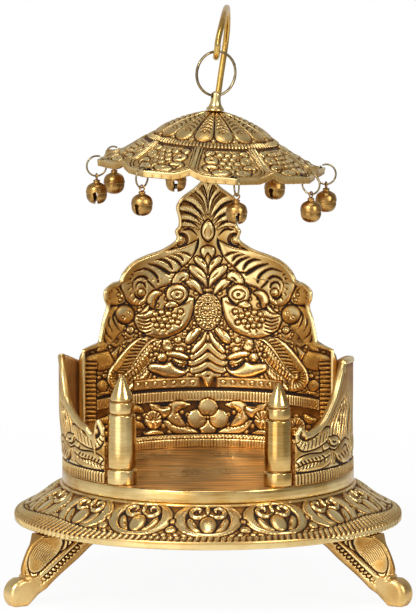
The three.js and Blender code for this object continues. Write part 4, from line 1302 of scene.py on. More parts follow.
@dataclass
class Arm:
    """One curved side wall: a thick rounded rim, a fluted scroll by the pillar and gouged leaves."""

    stand: Stand
    name: str
    side: float
    front: float
    outer: float = 58.4
    inner: float = 55.5
    rear: float = 115.0
    tall: float = 46.4
    relief: float = 1.1
    rim: float = 2.5
    bulge: float = 0.0
    drawn_front: float = 36.6
    rows: int = 200
    cols: int = 420
    crest: Run = (
        0, 0.45, 0.03, 0.5, 0.055, 0.49, 0.084, 0.44, 0.13, 0.46, 0.184, 0.504, 0.25, 0.608, 0.306, 0.714,
        0.358, 0.853, 0.41, 0.96, 0.47, 1, 0.8, 0.94, 1, 0.85,
    )

    def top(self, share: Array) -> Array:
        """Height of the top edge at a share of the arm's length."""
        path = curve_through(self.crest, 12)
        return self.tall * np.interp(share, path[:, 0], path[:, 1])

    def unrolled(self, points: Run) -> list[Point]:
        """Turns spots of the front drawing into places on the unrolled wall, in millimetres.

        Args:
            points: Places on the drawing.

        Returns:
            Distance round the wall and height of each.
        """
        places = []
        for u, v in spots(points):
            turn = asin(min((u - SHEET_MIDDLE) * SQUARE / self.outer, 0.999))
            depth = -self.outer * cos(turn)
            turn += radians(self.front - self.drawn_front)
            places.append((turn * self.outer, (SHEET_SEAT - v - 0.16 * depth / SQUARE) * SQUARE / 0.987))
        return places

    def build(self, finishes: Finishes) -> None:
        """Builds and dresses the arm.

        Args:
            finishes: The scene's materials.
        """
        share = np.linspace(0, 1, self.cols)[None, :]
        turn = np.radians(self.front + share * (self.rear - self.front)) + np.zeros((self.rows, 1))
        tall = self.top(share[0])[None, :]
        z = np.linspace(0, 1, self.rows)[:, None] * tall
        run = turn * self.outer
        m = Relief(run, z, level=0.7)
        self.draw(m)
        m.pillow(4, 0.25)
        slope = np.gradient(tall[0]) / np.gradient(run[0])
        below = np.minimum((tall - z) / np.sqrt(1 + slope**2),
            np.minimum(run - run[0, 0], run[0, -1] - run) + 0.4)
        band = 1 - eased((tall - z) / np.sqrt(1 + slope**2), self.rim - 0.7, self.rim)
        heights = m.grid() * (1 - band) + self.relief * band
        m.h = heights.ravel()
        # Tarnish and rubbing, with painted shade in the grooves and a painted highlight on the crests and rim
        wear_and_painted_light = np.clip((m.wear_and_painted_light(5, 0.62) - 0.04) * (1 - band) + 0.8 * band, 0, 1)
        rounding = 1.2 * (1 - np.sqrt(1 - np.clip(1 - below / 1.3, 0, 1) ** 2))
        bulge = self.bulge * eased(z, 0, 26) * np.sin(np.pi * np.clip(share, 0, 1) ** 0.8) ** 0.5
        radius = self.outer - self.relief + heights - rounding + bulge
        angle = turn * self.side
        # The inner face is cut back beside the pillar, which stands close to the arm's end
        cut_back = 1.9 * (1 - eased(share * (self.rear - self.front), 0.0, 4.0))
        behind = self.inner + rounding * 0.6 + bulge + cut_back
        front = self.stand.placed(radius * np.sin(angle), -radius * np.cos(angle), z + 0.12)
        back = self.stand.placed(behind * np.sin(angle), -behind * np.cos(angle), z + 0.12)
        piece = Skin(front, back, wear_and_painted_light, 4).mesh("carved_" + self.name)
        finished(piece, "throne", finishes.cast, "antique_brass", self.name)

    def draw(self, m: Relief) -> None:
        """Carves the outer face.

        Args:
            m: The relief.
        """

        def cut(points: Run, width: float, depth: float = 0.8, taper: Taper = LEAF) -> None:
            """Cuts a gouge given in the front drawing's places."""
            m.carve(self.unrolled(points), width, depth, taper)

        # Long gouges that fan from the lower leaf up to the rim
        for path, width in (
            ((328.6, 440, 330.4, 426, 334.4, 416, 339.4, 405), 0.75),
            ((332.2, 438, 334.4, 424, 340, 408, 345, 396), 0.85),
            ((336.4, 435, 338.6, 421, 343.8, 405, 347.6, 388), 0.75),
            ((341, 434, 342.6, 420, 346.6, 402, 349.4, 384), 0.8),
            ((344.6, 428, 346.4, 414, 349, 396), 0.9),
            ((348, 436, 349.2, 418, 350.6, 400, 351.2, 386), 0.9),
            ((351, 440, 351.8, 424, 352.6, 408), 0.8),
        ):
            cut(path, width, 0.95, COMMA)
        for k in range(17):
            base = 66.5 + radians(self.front - self.drawn_front) * self.outer + k * 3.1
            m.carve([(base - 3, 15), (base, 24), (base + 1.4, 34)], 0.75, 0.9, COMMA)
            m.stroke([(base - 5.6, 6.4), (base - 3.4, 9.8), (base - 2.6, 13.8)], 1.25, 1, LEAF, 0.6)
        # The double volute where the gouges start
        m.patch(self.unrolled((328, 438, 336, 436, 341, 442, 338, 448, 332, 449, 328, 444)), 1, 1.2, 0.6)
        cut((328.4, 440, 330.6, 445.4, 335, 446, 338.6, 442, 338.4, 438), 0.5, 0.9, EVEN)
        cut((331.6, 440.6, 334, 442, 336, 440), 0.4, 0.9, EVEN)
        m.patch(self.unrolled((340, 444, 346, 438, 351, 446, 351, 456, 345, 463, 337, 461, 334, 453)), 1.05,
            1.6, 0.7)
        cut((340, 450, 345, 444, 348, 452, 346, 460), 0.5, 0.8)
        for k in range(5):
            cut([(337.6 + k * 2.6, 455 - k * 2.4), (341.6 + k * 2, 459.6 - k * 2.8)], 0.4, 0.7, EVEN)
        cut((346.6, 441, 350.4, 449, 352, 457), 0.8, 1)
        m.patch(self.unrolled((323, 444, 327, 443, 329, 448, 326, 451, 322.6, 449)), 1, 1, 0.6)
        cut((334, 452, 337.6, 460, 344, 464), 0.7, 0.95)
        # The herringbone leaf that lies over the foot band
        m.patch(
            self.unrolled((294, 469, 298, 459.6, 309, 454.6, 321, 453.4, 329.4, 449.4, 331, 457, 329, 463,
                321, 468.6, 309, 471.4, 297, 471.6)),
            1.05, 1.4, 0.8, 0.5,
        )
        cut((296, 468, 309, 462.8, 321, 460.4, 330, 454), 0.4, 0.8, EVEN)
        for k in range(8):
            u, v = 299 + k * 3.6, 466.4 - k * 1.25
            cut([(u, v), (u - 3, v - 3.6 + k * 0.1)], 0.42, 0.85, EVEN)
            cut([(u + 1, v + 1), (u - 1, v + 4.8 - k * 0.1)], 0.42, 0.85, EVEN)
        # The fluted crescent and the ball that it curls round
        m.patch(
            self.unrolled((291, 430, 294.2, 440, 298.4, 448.2, 304, 451.2, 312.6, 449.6, 321.6, 444.8, 327.4,
                439, 329, 428, 322, 430, 313, 435, 305, 440, 299, 438, 296.4, 430)),
            1.1, 1.3, 0.9, 0.5,
        )
        for line in (
            (293.6, 440.4, 297.8, 437.4), (295.4, 445.2, 300, 440.6), (298.6, 448.6, 302.2, 442.4),
            (302.8, 450.4, 305, 443), (306.6, 450.4, 308.6, 441.8), (310.4, 449.4, 312.2, 439.6),
            (314.4, 447.8, 316, 437.4), (318.4, 445.6, 319.8, 435), (322, 443.2, 323.4, 433),
            (325.2, 440, 326.8, 431),
        ):
            cut(line, 0.42, 0.85, EVEN)
        cut((307.6, 429.4, 303.4, 428.6, 300, 432.4, 300.6, 438, 305.6, 440.4, 311, 438.4, 318, 433), 0.75,
            1.1, EVEN)
        m.bead(self.unrolled((304.8, 433.2))[0], 2, 1.9, 1.15, 0.5)
        m.fill(within(m.v, 4.3, 5.1), 0)
        m.fill(m.v < 4.3, 1.05)
        m.flute(m.u / 1.75, within(m.v, 0.3, 4.3), 0.85, 0.7)


LEFT_ARM_CREST = (
    0, 0.48, 0.035, 0.545, 0.06, 0.52, 0.083, 0.41, 0.139, 0.467, 0.203, 0.498, 0.289, 0.568, 0.364, 0.64,
    0.407, 0.718, 0.469, 0.88, 0.54, 0.99, 0.58, 1, 0.8, 0.94, 1, 0.85,
)


# Base


def cartouche(m: Relief) -> None:
    """One oval with its scrolls, bud and leaves, and the beads beside it.

    Args:
        m: The relief.
    """
    m.beads((0, 9.1, 13.5, 9.8, 1.15, 0.5, 0.25), (0, 9, 8.5, 7.5, 0.35, 0.8, 0.1))
    for _ in range(2):
        m.u = -m.u
        m.stroke((3, 15.6, 5.4, 13.6, 7, 10.4, 7.2, 8.2), 1.7, 1, LEAF, 0.6)
        m.carve((4, 14.2, 6.2, 11), 0.45, 0.5)
        m.stroke((0.8, 6, 2.4, 7.4, 5.4, 7.2, 6.6, 4.8, 5, 2.6, 2.8, 3, 3.4, 4.8), 1.05, 1.25, COMMA, 0.6)
        m.beads((14.4, 14.4, 1.9, 1.9, 1.05, 0.6), (12.9, 17.6, 1.2, 1.1, 0.95, 0.5))
        m.stroke((13.392, 8.6, 13.968, 11.2), 0.8, 0.9, LEAF, 0.5)
        m.stroke((10.8, 17.2, 8.4, 18.4), 0.8, 0.8, LEAF, 0.5)
    m.bead((0, 11.6), 3.3, 4.5, 1.25, 0.7, 0.7)
    m.stroke((0, 0.8, 0, 3.2, 0, 5.6), 0.9, 1.15, LEAF, 0.5)
    m.ring_cut((0, 9.1), 12.6, 9, 0.3, 0.2)


@dataclass
class BaseFlange:
    """The round base: fifteen oval cartouches on a slope, a rope of slanted flutes and a plain lip."""

    stand: Stand
    drum: float = 58.4
    shoulder: float = 75.8
    edge: float = 77.6
    wall: float = 2.6
    top: float = -5.3
    drop: float = 12.0
    power: float = 1.12
    lip: float = 3.1
    tuck: float = 1.8
    relief: float = 1.15
    ovals: int = 15
    flutes: int = 180
    slope_rows: int = 62
    cols: int = 1080
    leg_turns: tuple[float, ...] = (210.0, 330.0, 90.0)

    def profile(self) -> tuple[Array, Array, Array, Array]:
        """Outer face from the drum to the lip's foot and the under face that matches it.

        Returns:
            Radius and height of the outer face, then of the under face.
        """
        share = np.linspace(0, 1, self.slope_rows)
        r = self.drum - 0.6 + (self.shoulder - self.drum + 0.6) * share
        fall = np.clip((r - self.drum) / (self.shoulder - self.drum), 0, 1)
        z = self.top - self.drop * fall**self.power + 0.5 * self.tuck * eased(fall, 0.6, 1)
        turn = np.linspace(radians(50), 0, 9)[1:]
        rim = self.top - self.drop - 0.5 * self.tuck
        r_round = self.edge - self.tuck + self.tuck * np.cos(turn)
        z_round = rim + self.tuck * np.sin(turn)
        down = np.linspace(rim, rim + 0.5 * self.tuck - self.lip, 8)[1:]
        r_all = np.concatenate([r, r_round, np.full(6, self.edge), [self.edge - 0.35]])
        z_all = np.concatenate([z, z_round, down[:-1] + 0.0, [down[-1]]])
        inner_r = np.minimum(r_all - 0.5 * self.wall, self.edge - self.wall)
        inner_z = np.maximum(z_all - self.wall, down[-1])
        inner_z[-7:] = np.linspace(inner_z[-8], down[-1], 8)[1:]
        return r_all, z_all, inner_r, inner_z

    def build(self, finishes: Finishes) -> None:
        """Builds and dresses the base.

        Args:
            finishes: The scene's materials.
        """
        r, z, inner_r, inner_z = self.profile()
        along = run_along(np.stack([r, z], axis=1)) - 0.6
        turn = np.arange(self.cols) / self.cols * TURN
        t = turn[None, :] + np.zeros((len(r), 1))
        sector = TURN / self.ovals
        count = np.round((t + TURN / 4) / sector)
        local = t + TURN / 4 - count * sector
        v = along[:, None] + 0.2 * np.sin(count * 5.1)
        m = Relief((local * r[:, None] + 0.25 * np.sin(count * 2.3)) , v, level=0.5)
        cartouche(m)
        self.rope(m, t, along[:, None] + 0 * t)
        # Tarnish and rubbing, with painted shade in the grooves and a painted highlight on the crests and lip
        wear_and_painted_light = m.wear_and_painted_light(5, 0.85, True)
        lip = eased(along, along[-1] - 2.6, along[-1] - 2.0)[:, None]
        wear_and_painted_light = wear_and_painted_light * (1 - lip) + 0.84 * lip
        dr, dz = np.gradient(r), np.gradient(z)
        length = np.hypot(dr, dz)
        sunk = (self.relief - m.grid())
        radius = r[:, None] - sunk * (-dz / length)[:, None]
        height = z[:, None] - sunk * (dr / length)[:, None]
        front = self.stand.placed(radius * np.cos(t), radius * np.sin(t), height)
        back = self.stand.placed(inner_r[:, None] * np.cos(t), inner_r[:, None] * np.sin(t),
            inner_z[:, None] + 0 * t)
        poles = tuple(self.stand.placed(0.0, 0.0, z) for z in (self.top - 0.02, self.top - self.wall))
        piece = Skin(front, back, wear_and_painted_light, 8, True, poles).mesh("carved_base")
        finished(piece, "throne", finishes.cast, "antique_brass", "base_flange")

    def rope(self, m: Relief, turn: Array, along: Array) -> None:
        """The slanted flutes, wider over each leg, and the plain lip.

        Args:
            m: The relief.
            turn: Angle round the axis.
            along: Distance down the slope.
        """
        away = np.min([np.abs((turn - radians(a) + pi) % TURN - pi) for a in self.leg_turns], axis=0)
        near = np.exp(-((away / radians(19)) ** 2)).ravel()
        run = along.ravel()
        start, stop = 19.2 - 3.8 * near, 22.2 + 5.2 * near
        inside = within(run, start, stop)
        m.fill(run < 1.1, 1.1)
        m.fill((run > start - 0.7) & (run <= start), 0.1)
        m.fill(run >= stop, 1.15)
        m.fill(inside, 1.15)
        m.flute(turn.ravel() * self.flutes / TURN + run * 0.11, inside.astype(float), 0.95, 0.75)


@dataclass
class SeatDrum:
    """The polished drum with its flat brushed seat and slightly worn corners."""

    stand: Stand
    radius: float = 58.4
    skirt: float = 2.6
    floor: float = 2.0
    facets: int = 160

    def build(self, finishes: Finishes) -> None:
        """Builds and dresses the drum.

        Args:
            finishes: The scene's materials.
        """
        low, high = box_mm("seat_drum")
        deep = high[2] - low[2]
        r, inner = self.radius, self.radius - self.skirt
        profile = [
            (0, 0), (20, 0), (40, 0), (52, 0), (r - 1.0, 0), (r - 0.6, -0.06), (r - 0.3, -0.2),
            (r - 0.08, -0.45), (r, -0.8),
            (r, -2.0), (r, -3.4), (r, -deep + 0.4), (r - 0.15, -deep + 0.1), (r - 0.4, -deep),
            (inner, -deep), (inner, -self.floor - 0.4), (inner - 0.4, -self.floor), (20, -self.floor),
            (0, -self.floor),
        ]
        place = (0.0, self.stand.axis_y, self.stand.seat_z)
        piece = turned("polished_drum", profile, self.facets, place)
        finished(piece, "throne", finishes.seat, "seat_brass", "seat_drum")
        piece.data.materials.append(finishes.bright)
        for face in piece.data.polygons:
            if face.normal.z < 0.9:
                face.material_index = 1


# Legs


def leg_side(m: Relief) -> None:
    """Carves one side: shell, ribs, C-scroll, beads and the notch over the foot.

    Args:
        m: The relief.
    """
    for r in np.arange(49, 58.5, 1.9):
        m.carve([(r, -21.6), (r + 1.2, -24.4)], 0.5, 0.7)
    m.patch((78.6, -21.4, 81.4, -26, 83.2, -31, 82.2, -35, 78.6, -34.6, 74.6, -31.4, 70.6, -27.8, 68.6,
        -24.4, 69.6, -21.4), 1, 2, 0.8, 0.5)
    for k in range(15):
        r, z, reach = 72.8 + 0.56 * k, -31.6 + 0.5 * k, 3.2 + 0.34 * k - 0.02 * k * k
        m.carve([(r - 0.66 * reach, z + 0.75 * reach), (r + 0.5, z + 0.4),
            (r + 0.66 * reach, z - 0.75 * reach)], 0.26, 0.5)
    for k, reach in enumerate((4.6, 5.2, 5, 4.2, 3.2)):
        r = 69 - k * 2
        m.carve([(r + 0.6, -21.8), (r - 0.3, -24.2), (r + 0.9, -22 - reach)], 0.55 + 0.1 * k, 1, COMMA)
    line = [(87.5 - 29.6 * s, -43.4 + 23 * s) for s in (0.92, 0.78, 0.62, 0.46, 0.34, 0.25)]
    m.stroke([*line, (83, -37.2), (84, -33), (83.2, -28.4), (81.4, -24.6)], 1.1, 1.15, COMMA, 0.6)
    for k in range(13):
        s = 0.2 + 0.05 * k
        m.bead((86.4 - 29.6 * s, -44.8 + 23 * s), 0.85 + 0.12 * (k % 2), 0.72, 1.15, 0.45)


@dataclass
class Leg:
    """One cabriole leg: a plate in a radial plane with a shell, ribs and a C-scroll on each side."""

    stand: Stand
    name: str
    turn: float
    half: float = 5.5
    root: float = -20.7
    ground: float = -48.4
    foot_radius: float = 6.4
    foot_reach: float = 85.6
    tongue: float = 43.5
    tongue_end: float = 58.0
    relief: float = 1.0
    rows: int = 300
    cols: int = 84
    outside: Run = (
        78.2, -20.7, 82.2, -26.4, 84.9, -33.0, 85.0, -37.4,
    )
    inside: Run = (
        84.2, -48.4, 82.2, -47.2, 72.6, -38.7, 62.2, -31.2, 54.3, -25.4, 46.5, -23.7,
    )

    def edges(self) -> tuple[Array, Array]:
        """The outer and the inner edge, from the root to the foot, in radius and height.

        Returns:
            Both edges, a point to a row.
        """
        mid = self.ground + self.foot_radius - 1.6
        outer = curve_through(self.outside, 16)
        flat = sqrt(self.foot_radius**2 - (mid - self.ground) ** 2)
        turns = np.linspace(pi * 0.42, atan2(-(mid - self.ground), flat), 26)
        ball = np.stack([self.foot_reach + self.foot_radius * np.cos(turns),
            mid + self.foot_radius * np.sin(turns)], axis=1)
        inner = curve_through(self.inside, 14)[::-1]
        first = np.array([[self.tongue + 1.2, self.root]])
        return np.vstack([first, outer, ball]), np.vstack([first + (0, -0.6), inner])

    @staticmethod
    def paced(path: Array, stations: Array) -> Array:
        """Points at shares of a path's length."""
        run = run_along(path)
        return np.stack([np.interp(stations * run[-1], run, path[:, i]) for i in (0, 1)], axis=-1)

    def build(self, finishes: Finishes) -> None:
        """Builds and dresses the leg.

        Args:
            finishes: The scene's materials.
        """
        outer, inner = self.edges()
        out_run, in_run = run_along(outer), run_along(inner)
        share = np.linspace(0, 1, self.rows)
        middle = (out_run[1] + out_run[48]) / 2
        knots_out = np.array([0.0, out_run[1] * 0.5, out_run[1], middle, out_run[49], out_run[-1]])
        knots_in = in_run[-1] * np.array([0.0, 0.12, 0.3, 0.52, 0.8, 1.0])
        marks = np.array([0.0, 0.15, 0.33, 0.52, 0.74, 1.0])
        a = self.paced(outer, np.interp(share, marks, knots_out / out_run[-1]))
        b = self.paced(inner, np.interp(share, marks, knots_in / in_run[-1]))
        across = 0.5 - 0.5 * np.cos(np.linspace(0, pi, self.cols))
        across = 0.6 * across + 0.4 * np.linspace(0, 1, self.cols)
        plan = a[:, None, :] + (b - a)[:, None, :] * across[None, :, None]
        r, z = plan[..., 0], plan[..., 1]
        wide = np.hypot(*(b - a).T)[:, None]
        outer_edge, inner_edge = across[None, :] * wide, (1 - across[None, :]) * wide
        edge = np.minimum(outer_edge, inner_edge)
        bottom = z - self.ground
        m = Relief(r, z, level=0.9)
        leg_side(m)
        rim = np.maximum(1 - eased(outer_edge, 0.5, 1.0), 1 - eased(inner_edge, 2.3, 2.9))
        ball = eased(self.ground + 12.6 - z, 0, 1.6) * eased(r, self.foot_reach - 9.5, self.foot_reach - 6)
        heights = m.grid() * (1 - rim) + self.relief * rim
        m.h = heights.ravel()
        # Tarnish and rubbing, with painted shade in the grooves and a painted highlight on the crests and rim
        wear_and_painted_light = np.clip(m.wear_and_painted_light(3, 0.8) * (1 - ball) + 0.72 * ball, 0, 1)
        curve = 1 - np.clip(1 - np.minimum(edge, bottom + 0.3) / (1.3 + 1.4 * ball), 0, 1) ** 2
        belly = self.half * (0.8 * ball + (1 - ball)) - self.relief * (1 - ball)
        rounded = 0.7 - 0.3 * ball + (0.3 + 0.3 * ball) * np.sqrt(np.clip(curve, 0, 1))
        thick = (belly + heights * (1 - ball)) * rounded
        lean = eased(share, 0.3, 0.45)[:, None] * (1 - ball)
        thick = thick * (1 - 0.8 * lean * (1 - across[None, :]) ** 2)
        c, s = heading(self.turn)
        front = self.stand.placed(r * c + thick * s, r * s - thick * c, z)
        back = self.stand.placed(r * c - thick * s, r * s + thick * c, z)
        piece = Skin(front, back, wear_and_painted_light, 1).mesh("carved_" + self.name)
        self.join_root(piece, c, s)
        finished(piece, "throne", finishes.cast, "antique_brass", self.name)

    def join_root(self, piece: Object, c: float, s: float) -> None:
        """Adds the tongue that is bolted under the deck, as a part of the same mesh.

        Args:
            piece: The leg.
            c: Cosine of its direction.
            s: Sine of its direction.
        """
        low, high = self.root + 0.2, -7.95
        corners = [(self.tongue, high), (self.tongue_end - 2.6, high), (74.4, -20.2), (74.4, low - 0.4),
            (self.tongue + 2.0, low - 0.4), (self.tongue, low)]
        work = bmesh.new()
        work.from_mesh(piece.data)
        rings = []
        for side in (-4.7, 4.7):
            rings.append([
                work.verts.new(Vector(self.stand.placed(r * c + side * s, r * s - side * c, z)) * MM)
                for r, z in corners
            ])
        work.faces.new(rings[0])
        work.faces.new(rings[1][::-1])
        for i in range(len(corners)):
            j = (i + 1) % len(corners)
            work.faces.new((rings[0][j], rings[0][i], rings[1][i], rings[1][j]))
        bmesh.ops.recalc_face_normals(work, faces=work.faces)
        work.to_mesh(piece.data)
        work.free()



# Umbrella


def canopy_panel(m: Relief) -> None:
    """The cluster of scales and the scrolls in one panel.

    Args:
        m: The relief.
    """
    for row in range(5):
        v, count = 29.8 + row * 2.7, 2 + (row + 1) % 2
        for k in range(count):
            m.bead(((k - (count - 1) / 2) * 3, v), 1.5, 1.45, 0.95, 0.4, 0.5)
    for _ in range(2):
        m.u = -m.u
        m.stroke((4.9, 28.4, 7, 29, 7.9, 31.4), 1.5, 0.95, LEAF, 0.5)
        m.bead((6.9, 33.8), 2.5, 2.8, 0.95, 0.55, 0.4)
        m.carve((6.4, 33.2, 7.5, 34.2), 0.6, 0.9)
        m.bead((4.6, 42.4), 3.6, 2.1, 0.95, 0.55, 0.4, 12)
        m.carve((4, 42.2, 5.4, 42.6), 0.5, 0.9)
        m.stroke((5.6, 38.6, 8, 38, 10.2, 39.8, 9.4, 42), 1.6, 0.95, COMMA, 0.5)
        m.carve((8.8, 39.2, 9.6, 40.4), 0.45, 0.8)


@dataclass
class Umbrella:
    """The lobed canopy with its petals, fluted ring, eight framed panels and lip, and its finial."""

    place: tuple[float, float, float] = (3.2, -11.7, 198.53)
    tilt: float = 3.6
    radius: float = 46.4
    valley: float = 42.6
    rise: float = 21.2
    apex: float = -6.1
    wall: float = 1.4
    lip: float = 2.6
    lip_wall: float = 1.7
    arch: float = 1.9
    rib: float = 0.5
    rib_half: float = 1.6
    relief: float = 0.75
    hole: float = 1.72
    ring_eye: float = 1.05
    petals: int = 16
    bars: int = 112
    per_lobe: int = 90
    rows: int = 94
    tips: tuple[float, ...] = (12, 57, 108, 147, 192, 234, 282, 327)
    curve: Run = (
        0.078, 0.995, 0.25, 0.87, 0.42, 0.685, 0.55, 0.48, 0.71, 0.26, 0.86, 0.095, 0.93, 0.022, 1, 0,
    )

    def placed(self, x: Array, y: Array, z: Array) -> Array:
        """Points of the tilted umbrella in the row's frame."""
        c, s = heading(self.tilt)
        return np.stack([x * c + z * s + self.place[0], y + self.place[1], z * c - x * s + self.place[2]],
            axis=-1)

    def shell(self, out: Array, rise: Array, share: Array, tip: Array, span: Array) -> Array:
        """Points of the lobed shell for plan radii and heights over the rim.

        Args:
            out: Share of the radius.
            rise: Height.
            share: Place in the lobe, from 0 to 1.
            tip: Angle of the lobe's first point.
            span: Angle to its next point.

        Returns:
            Points about the umbrella's own centre.
        """
        spread = eased(out, 0.55, 1)
        rim = self.radius - (self.radius - self.valley) * np.sin(pi * share) ** 0.8
        radius = out * self.radius * (1 + spread * (rim / self.radius - 1))
        off = np.abs(share - 0.5) * radians(45) * out * self.radius
        near = np.clip(1 - off / (self.rib_half * 2), 0, 1)
        wide = np.clip(1 - off * 0.5 / (self.rib_half * 2), 0, 1)
        lift = eased(out, 0.5, 0.62) * near * self.rib + eased(out, 0.8, 1) * wide * self.arch
        turn = tip + span * share
        return np.stack([radius * np.cos(turn), radius * np.sin(turn), rise + lift], axis=-1)

    def build(self, finishes: Finishes) -> None:
        """Builds and dresses the canopy and the finial.

        Args:
            finishes: The scene's materials.
        """
        smooth = curve_through(self.curve, 12)
        run = run_along(smooth * (self.radius, self.rise))
        stations = np.linspace(0, run[-1], self.rows)
        out = np.interp(stations, run, smooth[:, 0])
        rim_z = self.apex - self.rise
        rise = rim_z + np.interp(stations, run, smooth[:, 1]) * self.rise
        lip_out = np.array([1.0, 1.0, 1.0, 1.0, 1.0, 1.0, 0.997, 0.99])
        lip_down = self.lip * np.array([0.06, 0.2, 0.4, 0.6, 0.8, 0.92, 0.98, 1.0])
        out, rise = np.concatenate([out, lip_out]), np.concatenate([rise, rim_z - lip_down])
        length = np.concatenate([stations, stations[-1] + lip_down])
        lobes = len(self.tips)
        column = np.arange(lobes * self.per_lobe)
        lobe, share = column // self.per_lobe, (column % self.per_lobe) / self.per_lobe
        tips = np.radians(np.array(self.tips))
        span = (np.roll(tips, -1) - tips) % TURN
        grid = np.ones((len(out), 1))
        share2, tip2, span2 = share[None, :] * grid, tips[lobe][None, :] * grid, span[lobe][None, :] * grid
        points = self.shell(out[:, None], rise[:, None] + 0 * share2, share2, tip2, span2)
        side = np.where(share2 < 0.5, share2, share2 - 1.0)
        m = Relief(side * radians(45) * out[:, None] * self.radius, length[:, None] + 0 * share2, level=0.55)
        self.draw(m, tip2 + span2 * share2, out[:, None] * self.radius + 0 * share2)
        # Tarnish and rubbing, with painted shade in the grooves and a painted highlight on the crests and lip
        wear_and_painted_light = m.wear_and_painted_light(4, 0.62, True)
        lip = eased(length, stations[-1] - 0.6, stations[-1])[:, None]
        wear_and_painted_light = wear_and_painted_light * (1 - 0.5 * lip) + 0.5 * lip * 0.8
        d_row, d_col = np.gradient(points, axis=0), np.roll(points, -1, axis=1) - np.roll(points, 1, axis=1)
        normal = np.cross(d_row, d_col)
        normal /= np.linalg.norm(normal, axis=-1, keepdims=True) + 1e-9
        normal *= np.sign(np.sum(normal * points * (1, 1, 0), axis=-1, keepdims=True) + 1e-9)
        carved = points - normal * (self.relief - m.grid())[..., None]
        inner_out = np.minimum(out - 0.45 * self.wall / self.radius, 1 - self.lip_wall / self.radius)
        inner_rise = np.maximum(rise - self.wall, rise[-1])
        inner_rise[self.rows :] = np.linspace(inner_rise[self.rows - 1], rise[-1], len(lip_out) + 1)[1:]
        under = self.shell(inner_out[:, None], inner_rise[:, None] + 0 * share2, share2, tip2, span2)
        front, back = self.placed(*np.moveaxis(carved, -1, 0)), self.placed(*np.moveaxis(under, -1, 0))
        poles = tuple(self.placed(0.0, 0.0, z) for z in (self.apex, self.apex - self.wall * 1.2))
        piece = Skin(front, back, wear_and_painted_light, 3, True, poles).mesh("carved_canopy")
        self.pierce(piece)
        finished(piece, "umbrella", finishes.cast, "antique_brass", "canopy")
        self.finial(finishes)

    def pierce(self, piece: Object) -> None:
        """Drills the eight holes that the bells' rings pass.

        Args:
            piece: The shell.
        """
        work = bmesh.new()
        for tip in self.tips:
            turn = radians(tip)
            reach = self.radius - 2.9
            x, y = reach * cos(turn), reach * sin(turn)
            low, high = self.apex - self.rise - 3.4, self.apex - self.rise + 5
            place = Vector(self.placed(x, y, (low + high) / 2)) * MM
            lean = Matrix.Rotation(radians(self.tilt), 4, "Y")
            rod_of(work, self.hole, high - low, 20, Matrix.Translation(place) @ lean)
        carve_out(piece, work)

    def draw(self, m: Relief, turn: Array, radius: Array) -> None:
        """Carves the petals, the fluted ring, the panels and the lip.

        Args:
            m: The relief.
            turn: Angle round the axis.
            radius: Distance from the axis.
        """
        panels_u = m.u.copy()
        step = TURN / self.petals
        flat_turn, flat_r = turn.ravel(), radius.ravel()
        index = np.round(flat_turn / step - 0.5)
        folded = flat_turn - (index + 0.5) * step
        m.u = folded * flat_r + 0.12 * np.sin(index * 2.7)
        m.stroke((0, 0.4, 0, 18.9), 3.7, 1.0, CONE, 0.55, 0.55)
        for v in (4.6, 6.8, 9.1, 11.5, 13.8):
            reach = 0.15 * v + 0.3
            m.carve([(-reach, v + 0.8), (-reach * 0.6, v), (0, v - 0.4), (reach * 0.6, v), (reach, v + 0.8)],
                0.36, 0.6, EVEN)
        m.carve((-1.9, 17.2, -0.9, 15.9, 0.3, 15.6, 1.6, 16.4, 2.0, 17.3), 0.26, 0.5, EVEN)
        m.carve((-0.7, 17.3, 0.5, 17.0), 0.4, 0.5)
        divide = (np.abs(m.u) > 0.5 * step * flat_r - 0.4) & (m.v < 16.0)
        m.fill(divide, 0.0)
        for _ in range(2):
            m.u = -m.u
            m.bead((4.3, 21.5), 1.0, 0.9, 0.9, 0.4)
        m.u = panels_u
        run = m.v
        m.fill(within(run, 22.9, 26.2), 0.9)
        m.flute(turn * self.bars / TURN, within(run, 23.0, 25.4), 0.85, 0.8)
        m.fill(within(run, 25.5, 25.9), 0.1)
        half = radians(22.5) * flat_r
        narrow = 1.7 - 0.85 * eased(run, 37, 47)
        d_side, d_top, d_end = (half - np.abs(m.u)) * narrow, run - 26.0, 46.6 - run
        corner = 6.5
        both = (d_side < corner) & (d_end < corner)
        d = np.minimum(np.minimum(d_side, d_top + 2.4), d_end + 1.6)
        d = np.where(both, corner - np.hypot(corner - d_side, corner - d_end - 1.6), d)
        d = np.minimum(d, np.minimum(d_side, d_top + 2.4))
        body = within(run, 26.0, 48.6)
        lines = (1 - eased(np.abs(d - 1.5), 0.15, 0.4)) + (1 - eased(np.abs(d - 3.1), 0.2, 0.45))
        frame = 0.85 - 0.85 * lines
        m.fill(body, np.where(d < 3.1, frame, np.minimum(0.62, np.maximum(frame, 0))))
        keep, field = m.h.copy(), body & (d > 3.3)
        canopy_panel(m)
        m.fill(body & ~field, keep)
        m.fill(run > 48.6, 0.75)
        m.flute(turn * 300 / TURN, within(run, 49.2, 51.4), 0.3, 0.5)

